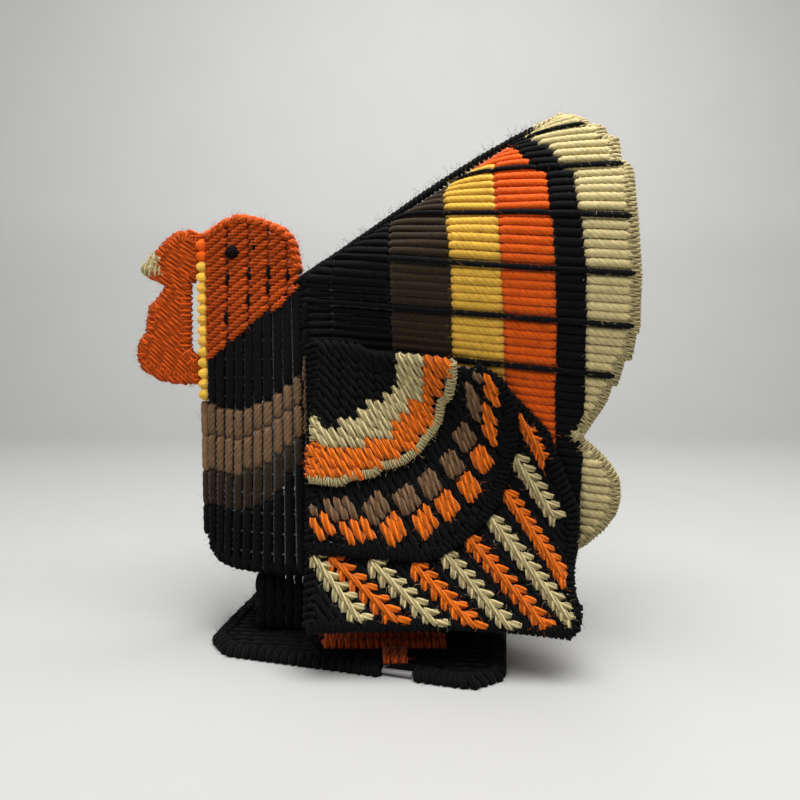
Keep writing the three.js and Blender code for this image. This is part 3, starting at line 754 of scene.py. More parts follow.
def tail_yarns():
    """All the stitches of one tail side."""
    yarns = Yarns(tail_surface, 11, TAIL_CELL)
    for k in range(BOTTOM_ROW, TOP_ROW + 1):
        v, rib = k + 0.5, k in RIB_ROWS
        bands = tail_bands(v)
        start = max(0.1, v + 0.15)
        for end, yarn in bands:
            stop = min(end, bands[-1][0])
            if stop - start < 0.5:
                continue
            if rib:
                rib_end = stop + 0.1 if yarn == "cream" else stop
                yarns.stitch("black", (start, v), (rib_end, v), "rib")
            thin = yarn == "black" and k in THIN_ROWS and start < THIN_END
            kind = "thin_tail" if thin else "tail"
            yarns.stitch(yarn, (start, v), (stop, v), kind, UNDER_RIB if rib else None)
            start = stop
    return yarns


def outline_steps(points, pitch):
    """Places one pitch apart along a line of points, with the directions to its right and ahead."""
    points = np.array(points, float)
    gaps = np.linalg.norm(np.diff(points, axis=0), axis=1)
    run = np.concatenate([[0], np.cumsum(gaps)])
    count = max(1, int(run[-1] / pitch))
    at = (np.arange(count) + 0.5) * run[-1] / count

    def place(where):
        return np.stack([np.interp(np.clip(where, 0, run[-1]), run, points[:, i]) for i in (0, 1)], axis=-1)

    along = unit(place(at + 0.7 * pitch) - place(at - 0.7 * pitch))
    outward = np.stack([along[:, 1], -along[:, 0]], axis=-1)
    return list(zip(place(at), outward, along))


def overcast(yarns, yarn, outline, kind="edge"):
    """Overcast loops along the outline of a panel, which is given as (row, column) pairs."""
    for place, outward, forward in outline_steps([(c, r) for r, c in outline], LOOPS[kind][-1]):
        yarns.loop(yarn, place, outward, forward, kind)


def canvas_bars(surface, rows, extent, cell):
    """Bars of the canvas under the yarn: one along each line between two rows, and one across."""
    # The bars take the canvas colour that is darkened with painted shade for the shadow under the yarn
    yarns = Yarns(surface, 3)
    ends = [extent(v) for v in rows]
    for v, (start, stop) in zip(rows, ends):
        if stop - start > 0.5:
            columns = np.linspace(start, stop, max(2, int((stop - start) * cell / BAR_STEP) + 1))
            yarns.path("canvas", columns, float(v), CANVAS_MIDDLE, *BAR_SIZE)
    first, last = int(min(e[0] for e in ends)), int(max(e[1] for e in ends))
    for column in range(first, last + 1, 2):
        held = np.array([start <= column <= stop for start, stop in ends])
        marks = np.flatnonzero(np.diff(np.concatenate([[False], held, [False]]).astype(int)))
        for first_row, past in zip(marks[::2], marks[1::2]):
            span = np.array(rows, float)[first_row:past]
            if len(span) > 1:
                yarns.path("canvas", np.full(len(span), float(column)), span, CANVAS_MIDDLE, *BAR_SIZE)
    return yarns


def tail_extent(v):
    """First and last cell of the tail's canvas at a row."""
    return max(0.1, v + 0.1), read_curve(RIM_OUTLINE, v) - 0.1


class TURKEY_OT_tail(bpy.types.Operator):
    """Stitch the two tail sides"""

    bl_idname = "turkey.tail"
    bl_label = "Tail sides"

    def execute(self, context):
        rows = range(BOTTOM_ROW, TOP_ROW + 1)
        canvas = canvas_bars(tail_surface, rows, tail_extent, TAIL_CELL)
        sewn_panel("tail", tail_yarns(), "tail_side", canvas, turn_length=TIGHT_TURN, ply_depth=SMOOTH_PLY)
        rim = Yarns(tail_surface, 12, TAIL_CELL)
        overcast(rim, "cream", RIM_OUTLINE, "rim")
        for turn in (0.2, 1.3, 2.4):
            reach = np.array([math.cos(turn), math.sin(turn)]) * 0.75
            rim.stitch("cream", KNOT - reach, KNOT + reach, "knot")
        sewn_pair("rim", rim, "rim_binding", turn_length=TIGHT_TURN, fibre_length=0.002)
        return {"FINISHED"}


# Seams in the middle plane

# The ridge seam: its top end in cells, its foot's distance from the cone's tip, its cream length, its swell
RIDGE_TOP = (27.2, 27.2)
RIDGE_FOOT = -2.5
RIDGE_CREAM = 14
RIDGE_SWELL = 2.8
# Share of the crown behind which the nape draws it forward, and how far
NAPE = 0.85
CROWN_PULL = 1.8
# The front seam: heights of its overcast stretch, its lean, and the height where the throat turns gold
THROAT_TOP = 152
THROAT_FOOT = 89.5
THROAT_LEAN = 0.0107
SNOOD_FOOT = 143.0
# Upright stitches down the front of the breast: upper end, lower end and colour
FRONT_BANDS = [
    (88.6, 75.2, "brown"), (75.0, 61.6, "brown"), (61.4, 48.2, "dark_brown"), (48.0, 36.5, "black"),
]


def space_surface(x, z, left):
    """Plain space, for yarn that isn't on a canvas."""
    return np.stack(np.broadcast_arrays(np.asarray(x, float), -np.asarray(left, float), z), axis=-1)


def middle_seam(name, line, colour_at, seed, **spinning):
    """Overcast loops, each a little different, that join two panels along a line of (X, Z) points."""
    yarns = Yarns(space_surface, seed, 1)
    for place, outward, forward in outline_steps(line, SEAMS[name][-1]):
        looseness = 1 + 0.16 * (yarns.random.random() - 0.5)
        yarns.seam_loop(colour_at(place), place, outward, forward, name, looseness)
    sewn(name, yarns, [f"{name}_binding"], **spinning)


def throat_colour(place):
    """Orange under the snood, and gold below it."""
    return "orange" if place[1] > SNOOD_FOOT else "gold"


class TURKEY_OT_seams(bpy.types.Operator):
    """Overcast the seams of the throat, the crown and the back"""

    bl_idname = "turkey.seams"
    bl_label = "Middle seams"

    def execute(self, context):
        sew_ridge()
        sew_throat()
        sew_crown()
        return {"FINISHED"}


def sew_ridge():
    """The seam along the back, which is cream at its top end and swells a little in its middle."""
    direction = FAN_RAYS[list(FAN_FLATS).index(RIDGE_ANGLE)]
    length = math.hypot(*RIDGE_TOP) * TAIL_CELL
    ridge = []
    for r in np.linspace(length, RIDGE_FOOT, 12):
        swell = RIDGE_SWELL * math.sin(math.pi * max(0, r / length) ** 1.6)
        ridge.append((APEX[0] + direction[0] * r - swell * direction[2],
                      APEX[2] + direction[2] * r + swell * direction[0]))
    cream_from = APEX[0] + direction[0] * (length - RIDGE_CREAM)
    middle_seam("ridge", ridge, lambda place: "cream" if place[0] > cream_from else "black", 21,
                turn_length=TIGHT_TURN, fibre_length=0.004)


def throat_x(z, gap):
    """X of the yarn on the front seam, which leans out from the panels' edge with height."""
    return front_x(z) - gap - THROAT_LEAN * z


def sew_throat():
    """The front seam: overcast at the throat, with upright stitches below it."""
    throat = [(throat_x(z, 1.0), z) for z in np.linspace(THROAT_TOP, THROAT_FOOT, 20)]
    middle_seam("throat", throat[::-1], throat_colour, 22, fibre_length=0.002, **ROUND_YARN)
    front = Yarns(space_surface, 24, 1)
    for high, low, yarn in FRONT_BANDS:
        front.stitch(yarn, (throat_x(high, 0.6), high), (throat_x(low, 0.6), low), "breast_front")
    sewn("breast_front", front, ["throat_binding"], **ROUND_YARN)


def sew_crown():
    """The orange seam over the head, which is drawn forward at the nape."""
    crown = []
    for share, z in HEAD_TOP:
        seam_x, _ = seam_place(z)
        pull = CROWN_PULL * max(0, share - NAPE) / (1 - NAPE)
        crown.append((front_x(z) + (seam_x - front_x(z)) * share - pull, z))
    middle_seam("crown", crown[::-1], lambda place: "orange", 23, turn_length=HEAD_TURN, fibre_length=0.0035)


# Head, neck and breast

# Where the colours of the breast end, as (cell, row), and the short black stitches on the neck
BROWN_TOP = [
    (0, 24.5), (1.3, 23.8), (4.1, 23.6), (5.3, 24.3), (6.3, 24.4), (7.3, 25.3), (8.5, 26.3), (9.8, 27.4),
]
BROWN_MIDDLE = [(0.6, 20.9), (4.1, 20.5), (5.3, 21.6), (6.2, 21.7), (7.2, 22.6), (8.3, 23.5), (9.4, 24.2)]
BROWN_FOOT = [
    (0, 17.3), (3.5, 16.7), (4.7, 17.7), (6, 17.7), (7, 18.7), (8.2, 19.6), (8.9, 20.4), (9.8, 21.1),
]
DARK_FOOT = [
    (0, 13.5), (3.6, 13.1), (5.3, 13.8), (6.3, 14.1), (7, 15), (7.9, 15.7), (8.2, 17), (9.8, 18.1),
]
NECK_TOP = [
    (0, 28.8), (1.3, 29.8), (2.3, 30.9), (3.8, 31.9), (6.1, 33.6), (7.2, 34.4), (9.1, 35.9), (9.9, 36.8),
]
NECK_MARKS = [
    (5.1, 41.2), (2.3, 37.5), (4.6, 38.2), (6.7, 38.4), (8.8, 38), (4.5, 35.4), (6.6, 36.6), (2.1, 33.4),
]
# Colours of a column of the breast from its foot up
BREAST_BANDS = ("black", "dark_brown", "brown", "brown", "black")
# The head's slanted stitches: their ends across it, the rows they start from, rise for each cell, and gap
HEAD_STEPS = [-0.15, 2.25, 4.5, 6.6, 8.65, 10.0]
HEAD_ROWS = range(27, 46)
HEAD_SLOPE = 0.8
HEAD_GAP = 0.1
EYE_PLACE = (2.8, 40.5)
# The stitches over the seam behind the breast, on the tail's canvas: (row, colour below it)
SEAM_BANDS = [(-3, "black"), (-9.5, "brown"), (-19, "dark_brown"), (-22.5, "black")]
SEAM_COLUMN = 0.45
SEAM_STITCH = 3.1


def head_limit(column):
    """Highest row of the head panel at a column."""
    return read_curve(HEAD_TOP, column / BREAST_COLUMNS) / BODY_CELL


def breast_foot(share):
    """Lowest row of the breast panel at a share of its width."""
    return read_curve(BREAST_FOOT, share) / BODY_CELL


def breast_yarns():
    """Long upright stitches of the neck and breast, and slanted ones on the head."""
    yarns, head = Yarns(breast_surface, 31), Yarns(breast_surface, 35)
    for i in range(BREAST_COLUMNS):
        column = i + 0.5
        ends = [breast_foot(column / BREAST_COLUMNS) + 0.15]
        for curve in (DARK_FOOT, BROWN_FOOT, BROWN_MIDDLE, BROWN_TOP, NECK_TOP):
            ends.append(read_curve(curve, column))
        ends[-1] += 0.35
        for low, high, yarn in zip(ends[:-1], ends[1:], BREAST_BANDS):
            yarns.stitch(yarn, (column, low), (column, high), "breast")
    for first, last in zip(HEAD_STEPS[:-1], HEAD_STEPS[1:]):
        rise = (last - first) * HEAD_SLOPE
        for r in HEAD_ROWS:
            held = clipped((first + HEAD_GAP, r), (last - HEAD_GAP, r + rise), in_head)
            if held:
                head.stitch("orange", *held, "head")
    for column, row in NECK_MARKS:
        head.stitch("black", (column, row - 0.6), (column, row + 0.6), "neck_mark")
    return yarns, head


def seam_yarns():
    """Upright stitches over the seam between the breast and the tail side."""
    yarns = Yarns(tail_surface, 34, TAIL_CELL)
    ends = [row for row, _ in SEAM_BANDS[1:]] + [BOTTOM_ROW + 1]
    for (top, yarn), foot in zip(SEAM_BANDS, ends):
        marks = np.linspace(top, foot, max(1, round((top - foot) / SEAM_STITCH)) + 1)
        for high, low in zip(marks[:-1], marks[1:]):
            start, end = (SEAM_COLUMN + 0.25, high + 0.3), (SEAM_COLUMN - 0.15, low)
            yarns.stitch(yarn, start, end, "side_seam")
    return yarns


def in_head(column, row):
    """Whether a place on the breast panel belongs to the orange head."""
    if not -0.15 < column < BREAST_COLUMNS - 0.2:
        return False
    return read_curve(NECK_TOP, column) < row < head_limit(column) + 0.42


def breast_extent(column):
    """Lowest and highest row of the breast's canvas at a column."""
    return breast_foot(column / BREAST_COLUMNS) + 0.2, head_limit(column) - 0.3


def turned_surface(surface):
    """The same surface with its columns and rows exchanged."""
    return lambda row, column, out: surface(column, row, out)


class TURKEY_OT_breast(bpy.types.Operator):
    """Stitch the head, neck and breast panels, and the eyes"""

    bl_idname = "turkey.breast"
    bl_label = "Head and breast"

    def execute(self, context):
        bars = [0.4, *range(1, BREAST_COLUMNS), BREAST_COLUMNS - 0.3]
        canvas = canvas_bars(turned_surface(breast_surface), bars, breast_extent, BODY_CELL)
        breast, head = breast_yarns()
        sewn_panel("breast", breast, "head_breast", canvas, turn_length=TIGHT_TURN, ply_depth=0.18)
        edge = Yarns(breast_surface, 32)
        foot = [(breast_foot(share) + 0.4, share * BREAST_COLUMNS) for share in np.linspace(0, 1, 25)]
        overcast(edge, "black", foot)
        overcast(edge, "black", [(row, BREAST_COLUMNS) for row in np.linspace(7, 37, 30)], "breast_rear")
        eye = Yarns(breast_surface, 33)
        for turn in np.linspace(0, math.pi, 4, endpoint=False):
            reach = np.array([math.cos(turn), math.sin(turn)]) * 0.62
            eye.stitch("black", EYE_PLACE - reach, EYE_PLACE + reach, "eye")
        sewn_pair("breast_edge", edge, "head_breast")
        sewn_pair("eye", eye, "eye")
        sewn_pair("head", head, "head_breast", turn_length=HEAD_TURN)
        sewn_pair("head", head.backed(), "head_breast", "_back", **BACK_YARN)
        sewn_pair("side_seam", seam_yarns(), "head_breast", turn_length=TIGHT_TURN)
        return {"FINISHED"}


# Wings

# Every orange of the wings is the orange yarn painted lighter, as painted light for the stronger light that
# falls on them
# Where the black and the cream of the upper wing end, as (cell, row)
UPPER_CREAM = [
    (1.8, -15.2), (3.8, -15.8), (4.8, -14.8), (6, -14.8), (7.2, -14), (8.5, -13), (10, -11.8),
    (11.5, -10.5), (11.8, -8.2),
]
UPPER_ORANGE = [
    (2, -17.8), (7.2, -17.5), (7.5, -16.8), (9.8, -16.5), (10, -15.8), (11.2, -14.8), (12.2, -14.2),
    (13, -12.2), (14.2, -11.8), (15, -7),
]
# Blocks of the middle wing: first and last cell, top and foot row
MIDDLE_BROWN = [
    (1.1, 1.9, -23.6, -24.6), (2.4, 6.4, -22.9, -25), (6.6, 9.8, -22.3, -25.4), (9.9, 13.1, -21.5, -24.4),
    (12.6, 15.7, -19.8, -22.7), (15.3, 18.3, -17.4, -20.3), (17.3, 20.2, -13.8, -17),
    (18.9, 20.7, -9.6, -13.4), (19.8, 20.8, -8.3, -9.2),
]
MIDDLE_ORANGE = [
    (1, 4, -24.3, -26.7), (4.2, 8.2, -24.8, -27.2), (8.4, 11.5, -24.3, -27.3), (11.8, 14.9, -23.4, -26.5),
    (14.4, 17.4, -21.7, -24.7), (17.1, 20, -19.5, -22.5), (19, 21.9, -16, -19),
    (20.5, 22.4, -11.6, -15.7), (20.7, 22.6, -8.4, -11.6),
]
# Reach and drop of one stitch of a block
BLOCK_STITCH = (1.25, -1.95)
# Feathers of the lower wing: colour, and both ends of the spine
LOWER_SPINES = [
    ("cream", (1.4, -28.1), (6.2, -33.4)), ("wing_orange", (3.3, -28.3), (10, -33.6)),
    ("cream", (7.5, -28.8), (13.8, -33.7)), ("wing_orange", (11.9, -29), (17.6, -33.7)),
    ("cream", (15.1, -27.8), (21.1, -33.4)), ("wing_orange", (17.8, -26.1), (24.7, -32.8)),
    ("cream", (20.5, -23.9), (27.5, -31.9)), ("wing_orange", (22.6, -20.8), (27.5, -28.2)),
    ("cream", (23.8, -16.9), (27.4, -21.9)), ("wing_orange", (24.1, -12.4), (26.4, -16.3)),
]
# Rows from barb to barb, and the reach of a pair of barbs
BARB_PITCH = 0.84
BARBS = ((1.45, -0.12), (0.14, -1.4))
# The corner that the upper wing's bands bend round
INNER_CORNER = (0, -6)
# Step of a stitch that spans a single bar
SHORT_RUN = (0.85, -1.0)
# Where every wing ends above and in front, and how far its stitches stay from its edging
WING_TOP_ROW = -7.2
WING_START = 1.15
EDGE_GAP = 0.3
THIN_EDGE_GAP = 0.5
# Row of each wing's foot at its front edge, from the lowest wing up
FRONT_FEET = (-34.3, -27.6, -20.9)
# How late each foot bends up to its rear corner
FOOT_BEND = (5, 1, 1)
# The upper wing's front edge starts further back above its orange corner
UPPER_START = 1.7
CORNER_TOP = -17.9
# Below this row the upper wing's stitches keep clear of its thin edging
EDGING_CLEAR = -11.0
# Where each colour of the upper wing's front edge ends
FRONT_BLACK_END = -14.6
FRONT_CREAM_END = -17.6


def bend_reading(curve):
    """Reads a curved boundary by direction from the wing's inner corner: angles and distances."""
    points = np.array(curve) - INNER_CORNER
    angles = np.arctan2(-points[:, 1], points[:, 0])
    order = np.argsort(angles)
    return angles[order], np.linalg.norm(points, axis=1)[order]


def upper_colour(column, row):
    """Black field, cream band and orange band of the upper wing."""
    over, down = column - INNER_CORNER[0], INNER_CORNER[1] - row
    angle, distance = math.atan2(down, over), math.hypot(over, down)
    if distance < np.interp(angle, *bend_reading(UPPER_CREAM)):
        return "black"
    return "cream" if distance < np.interp(angle, *bend_reading(UPPER_ORANGE)) else "wing_orange"


def wing_start(layer, row):
    """Cell of a wing's front edge at a row."""
    return UPPER_START if layer == 2 and row > CORNER_TOP else WING_START


def foot_row(layer, outline, column):
    """Row of a wing's foot at a column."""
    share = np.clip((column - WING_START) / (outline[0][1] - WING_START), 0, 1)
    return FRONT_FEET[layer] + (outline[0][0] - FRONT_FEET[layer]) * share ** FOOT_BEND[layer]


def wing_extent(layer, outline):
    """First and last cell of a wing's canvas at a row."""
    return lambda row: (wing_start(layer, row), read_curve(outline, row) - 0.1)


def in_wing(layer, outline):
    """Test for places inside a wing's outline."""
    top = min(WING_TOP_ROW, outline[-1][0])

    def inside(column, row):
        if not foot_row(layer, outline, column) + EDGE_GAP < row < top:
            return False
        gap = EDGE_GAP if layer < 2 or row > EDGING_CLEAR else THIN_EDGE_GAP
        return wing_start(layer, row) < column < read_curve(outline, row) - gap

    return inside


def slanted_fill(yarns, layer, outline, slant, colour, kind, longest=3):
    """Slanted stitches side by side over a whole wing: each runs from bar to bar in one colour."""
    inside = in_wing(layer, outline)
    top_bar = math.ceil(WING_TOP_ROW)
    lowest = math.ceil(min(outline[0][0], FRONT_FEET[layer]))
    for first in range(-30, 31):
        run = []
        for row in range(top_bar, lowest - 1, -1):
            column = first + slant * (top_bar - row)
            middle = (column + slant / 2, row - 0.5)
            yarn = colour(*middle) if inside(*middle) else None
            if run and (yarn != run[0] or len(run) > longest + (first * 7 + row * 3) % 2):
                add_run(yarns, run, kind)
                run = []
            if yarn:
                run = run or [yarn]
                run.append((column, row))
        if run:
            add_run(yarns, run, kind)
    return yarns


def add_run(yarns, run, kind):
    """One stitch along a run of bars."""
    start, last = np.array(run[1]), np.array(run[-1])
    step = (last - start) / (len(run) - 2) if len(run) > 2 else np.array(SHORT_RUN)
    yarns.stitch(run[0], start, last + step, kind)


def upper_yarns():
    """The upper wing's stitches."""
    yarns = Yarns(wing_surface(2), 41)
    return slanted_fill(yarns, 2, UPPER_WING, 0.92, upper_colour, "upper_wing", longest=2)


def block(yarns, yarn, box, inside):
    """A block of up to three slanted stitches that steps across a box of the wing."""
    left, right, top, foot = box
    spread = right - left + top - foot
    count = 3 if spread > 5.4 else 2 if spread > 2.5 else 1
    reach, drop = min(BLOCK_STITCH[0], right - left - 0.3), max(BLOCK_STITCH[1], foot - top)
    span = right - left - reach - 0.7
    for share in np.linspace(0, 1, count) if count > 1 else [0.5]:
        start = (left + 0.35 + span * share, foot - drop + (top - foot + drop) * share)
        held = clipped(start, (start[0] + reach, start[1] + drop), inside)
        if held:
            yarns.stitch(yarn, *held, "wing_block")


def middle_yarns():
    """The middle wing's stitches: brown and orange blocks in black."""
    yarns = Yarns(wing_surface(1), 42)
    inside = in_wing(1, MIDDLE_WING)
    slanted_fill(yarns, 1, MIDDLE_WING, 0.6, lambda c, r: "black", "middle_wing")
    for yarn, boxes in (("brown", MIDDLE_BROWN), ("wing_orange", MIDDLE_ORANGE)):
        for box in boxes:
            block(yarns, yarn, box, inside)
    return yarns


def lower_yarns():
    """The lower wing's stitches: feathers with a spine and a pair of barbs to each cell, on black."""
    yarns = Yarns(wing_surface(0), 43)
    inside = in_wing(0, LOWER_WING)
    slanted_fill(yarns, 0, LOWER_WING, 1.0, lambda c, r: "black", "lower_wing")
    for yarn, start, end in LOWER_SPINES:
        start, end = np.array(start), np.array(end)
        count = max(3, round(abs(end[1] - start[1]) / BARB_PITCH) + 1)
        for share in np.linspace(0, 1, count):
            place = start + (end - start) * share
            for reach in BARBS:
                held = clipped(place, place + reach, inside)
                if held:
                    yarns.stitch(yarn, *held, "barb")
        yarns.stitch(yarn, *clipped(start, end + (0.4, -0.4), inside), "spine")
    return yarns


def front_edge(edge, layer):
    """Overcast loops down a wing's front edge, in the colours of the wing's bands."""
    rows = np.linspace(WING_TOP_ROW, FRONT_FEET[layer], 40)
    line = [(wing_start(layer, row), row) for row in rows]
    for place, outward, forward in outline_steps(line, LOOPS["wing_front"][-1]):
        yarn, kind = "black", "wing_front"
        if layer == 2 and place[1] < FRONT_BLACK_END:
            yarn, kind = ("cream", kind) if place[1] > FRONT_CREAM_END else ("wing_orange", "wing_corner")
        edge.loop(yarn, place, outward, forward, kind)


class TURKEY_OT_wings(bpy.types.Operator):
    """Stitch the three layers of each wing and overcast their edges"""

    bl_idname = "turkey.wings"
    bl_label = "Wings"

    def execute(self, context):
        for layer, name, outline, yarns in (
            (2, "wing_upper", UPPER_WING, upper_yarns()),
            (1, "wing_middle", MIDDLE_WING, middle_yarns()),
            (0, "wing_lower", LOWER_WING, lower_yarns()),
        ):
            top = min(WING_TOP_ROW, outline[-1][0])
            rows = range(math.ceil(outline[0][0]), math.floor(top) + 1)
            canvas = canvas_bars(wing_surface(layer), rows, wing_extent(layer, outline), BODY_CELL)
            sewn_panel(name, yarns, name, canvas)
            edge = Yarns(wing_surface(layer), 44 + layer)
            rim = [(FRONT_FEET[layer], WING_START)] + outline
            overcast(edge, *(("cream", rim, "thin_edge") if layer == 2 else ("black", rim)))
            front_edge(edge, layer)
            sewn_pair(f"{name}_edge", edge, f"{name}_edging", turn_length=TIGHT_TURN)
        return {"FINISHED"}


# Beak, snood and wattle: one flat piece in the middle plane

PLATE_REAR_X = HEAD_FRONT_X - 4.1
# How far inside the outline the overcast loops sit, in front and at the head
EDGE_INSET = 2.9
REAR_INSET = 1.2
# The flat piece's outline: X from its rear line, and height
BEAK_OUTLINE = [
    (1.6, 155), (-4, 156.4), (-8, 156.2), (-13, 153), (-16.5, 149), (-20.2, 144.3), (-21.6, 140.6),
    (-20.2, 137.7), (-17, 136.8), (-11.5, 137), (-14.2, 133), (-17, 129), (-19.8, 126.2), (-20.6, 120),
    (-21.2, 116), (-23.8, 112.3), (-24.4, 106), (-21.5, 101), (-16, 97.8), (-10, 96), (-5, 95.4),
    (1.6, 95.5), (1.6, 105.4), (-3.4, 109), (-3.4, 134.5), (1.6, 137),
]


def plate_surface(x, z, out):
    """The left face of the flat piece, in X and Z."""
    x, z, out = np.broadcast_arrays(np.asarray(x, float), z, out)
    return np.stack([x, -(PANEL_THICKNESS / 2 + out), z], axis=-1)


def in_polygon(points):
    """Test for places inside a closed outline."""
    points = np.array(points, float)
    ahead = np.roll(points, -1, axis=0)

    def inside(x, y):
        above = (points[:, 1] > y) != (ahead[:, 1] > y)
        rise = np.where(above, ahead[:, 1] - points[:, 1], 1)
        cross = points[:, 0] + (y - points[:, 1]) / rise * (ahead[:, 0] - points[:, 0])
        return bool(np.count_nonzero(above & (x < cross)) % 2)

    return inside


def is_tip(x, z):
    """Whether a place on the flat piece is the beak's cream tip."""
    return z > 135.5 and (x - PLATE_REAR_X) < -12.5 - (z - 136) * 0.42


def beak_face(inside):
    """Slanted rows of orange across the flat piece, steeper towards its foot."""
    face = Yarns(plate_surface, 51, 1)
    for z in np.arange(92, 176, 1.75):
        slope = -0.4 - 0.2 * min(1, max(0, (150 - z) / 40))
        held = clipped((PLATE_REAR_X - 26, z + 6), (PLATE_REAR_X + 1, z + 6 + 27 * slope), inside)
        if held and held[1][0] - held[0][0] > 1.5:
            face.stitch("orange", held[0] + (0.8, -0.3), held[1], "beak")
    return face


def beak_tip(inside):
    """Upright cream stitches on the beak's tip."""
    tip = Yarns(plate_surface, 53, 1)
    for x in np.arange(-21.5, -12, 2.1):
        top, foot = (PLATE_REAR_X + x, 150), (PLATE_REAR_X + x + 1.5, 134)
        held = clipped(top, foot, lambda a, b: inside(a, b) and is_tip(a, b))
        if held:
            tip.stitch("cream", *held, "beak_tip")
    return tip


class TURKEY_OT_beak(bpy.types.Operator):
    """Stitch the beak, snood and wattle"""

    bl_idname = "turkey.beak"
    bl_label = "Beak and wattle"

    def execute(self, context):
        outline = [(PLATE_REAR_X + x, z) for x, z in BEAK_OUTLINE]
        inside = in_polygon(outline)
        edge = Yarns(plate_surface, 52, 1)
        for place, outward, forward in outline_steps(outline + outline[:1], LOOPS["beak_edge"][-1]):
            yarn = "cream" if is_tip(*place) else "orange"
            inset = EDGE_INSET if outward[0] < 0.7 else REAR_INSET
            edge.loop(yarn, place - outward * inset, outward, forward, "beak_edge")
        face, tip = beak_face(inside), beak_tip(inside)
        for side in SIDES:
            sewn(f"beak_face_{side}", face, ["beak_wattle"], side == "right")
            sewn(f"beak_tip_{side}", tip, ["beak_wattle"], side == "right")
        sewn("beak_edge", edge, ["beak_wattle"])
        return {"FINISHED"}


# Base, pedestal, feet and floor

BASE = {
    "front": -64.3, "rear": 38.7, "front_half": 31.5, "rear_half": 50, "cut": 8, "top": 3,
    "turn": math.radians(-6), "skew": 0.04,
}
PEDESTAL = {"front": -54, "rear": 22, "half": 13.5, "foot": 3.3, "top": 24.7}
FOOT = {
    "front": -28, "rear": 15, "inner": 15, "outer": 28,
    "toe_front": -6, "toe_rear": 3, "toe_out": 41, "top": 5.1,
}
# The part of the base's near edge where the canvas shows
BARE_STRETCH = (0.3, 10.6)
# Rows of the flat pieces
FLAT_PITCH = 3.5
FLAT_ROWS = np.arange(-45.5, 46, FLAT_PITCH)


def base_half(x):
    """Half width of the base plate at a distance along it."""
    share = (x - BASE["front"]) / (BASE["rear"] - BASE["front"])
    return BASE["front_half"] + (BASE["rear_half"] - BASE["front_half"]) * share


def base_surface(x, y, out):
    """The top of the base plate, which is sewn on a little askew."""
    x, y, out = np.broadcast_arrays(np.asarray(x, float), y, out)
    x = x + y * BASE["skew"]
    c, s = math.cos(BASE["turn"]), math.sin(BASE["turn"])
    return np.stack([x * c - y * s, x * s + y * c, BASE["top"] - 0.5 + out], axis=-1)


def flat_surface(origin, along, rise):
    """A flat wall through a point, with its two directions."""
    origin, along, rise = (np.array(v, float) for v in (origin, along, rise))
    outward = np.cross(along, rise)

    def surface(a, b, out):
        a, b, out = np.broadcast_arrays(np.asarray(a, float), b, out)
        return origin + along * a[..., None] + rise * b[..., None] + outward * out[..., None]

    return surface


class TURKEY_OT_base(bpy.types.Operator):
    """Stitch the base plate, the pedestal, the floor of the body and the feet"""

    bl_idname = "turkey.base"
    bl_label = "Base and pedestal"

    def execute(self, context):
        stitch_base()
        stitch_pedestal()
        stitch_floor()
        stitch_feet()
        return {"FINISHED"}


def stitch_base():
    """Rows of black yarn along the base plate, overcast round its edges but for one bare stretch."""
    front, rear, front_half, rear_half, cut = (
        BASE[key] for key in ("front", "rear", "front_half", "rear_half", "cut"))
    length, widening = rear - front, rear_half - front_half
    yarns = Yarns(base_surface, 61, 1)
    for y in FLAT_ROWS:
        start = front + 1.0 + max(0, abs(y) - front_half + 1) / widening * length
        start = max(start, front + 1.0 + max(0, abs(y) - front_half + cut))
        end = rear - 1.0 - max(0, abs(y) - rear_half + cut)
        stops = np.linspace(start, end, max(2, int((end - start) / 36) + 2))
        for a, b in zip(stops[:-1], stops[1:]):
            yarns.stitch("black", (a, y), (b, y), "base")
    taper = widening / length * cut
    side = [(front, front_half - cut), (front + cut, front_half + taper), (rear - cut, rear_half - taper),
            (rear, rear_half - cut)]
    corners = [(x, -y) for x, y in side] + side[::-1] + [(front, cut - front_half)]
    edge = Yarns(base_surface, 62, 1)
    for place, outward, forward in outline_steps(corners, LOOPS["base_edge"][-1]):
        if place[1] > -30 or not BARE_STRETCH[0] < place[0] < BARE_STRETCH[1]:
            edge.loop("black", place + outward * 0.8, outward, forward, "base_edge")
    sewn_through("base", yarns, "base_plate")
    sewn("base_edge", edge, ["base_plate"])
    bars = Yarns(base_surface, 63, 1)
    ends = np.array(BARE_STRETCH)
    for offset in (-0.3, 2.6):
        rows = offset - base_half(ends)
        bars.path("bare_canvas", np.linspace(*ends, 6), np.linspace(*rows, 6), -1.0, *BARE_BAR_SIZE)
    sewn("base_bare", bars, ["base_plate"], **BAR)


def stitch_pedestal():
    """Upright stitches round the four walls of the pedestal."""
    front, rear, half, foot = (PEDESTAL[key] for key in ("front", "rear", "half", "foot"))
    rise = PEDESTAL["top"] - foot
    for node, x, y, along, span in (
        ("pedestal_side_left", (front + rear) / 2, -half, (1, 0, 0), rear - front),
        ("pedestal_side_right", (front + rear) / 2, half, (-1, 0, 0), rear - front),
        ("pedestal_front", front, 0, (0, -1, 0), 2 * half),
        ("pedestal_back", rear, 0, (0, 1, 0), 2 * half),
    ):
        yarns = Yarns(flat_surface((x, y, foot), along, (0, 0, 1)), 64, 1)
        count = round(span / FLAT_PITCH)
        for place in (np.arange(count) + 0.5) * span / count - span / 2:
            yarns.stitch("black", (place, 0.2), (place, rise - 0.2), "pedestal")
        sewn_through(node, yarns, node)


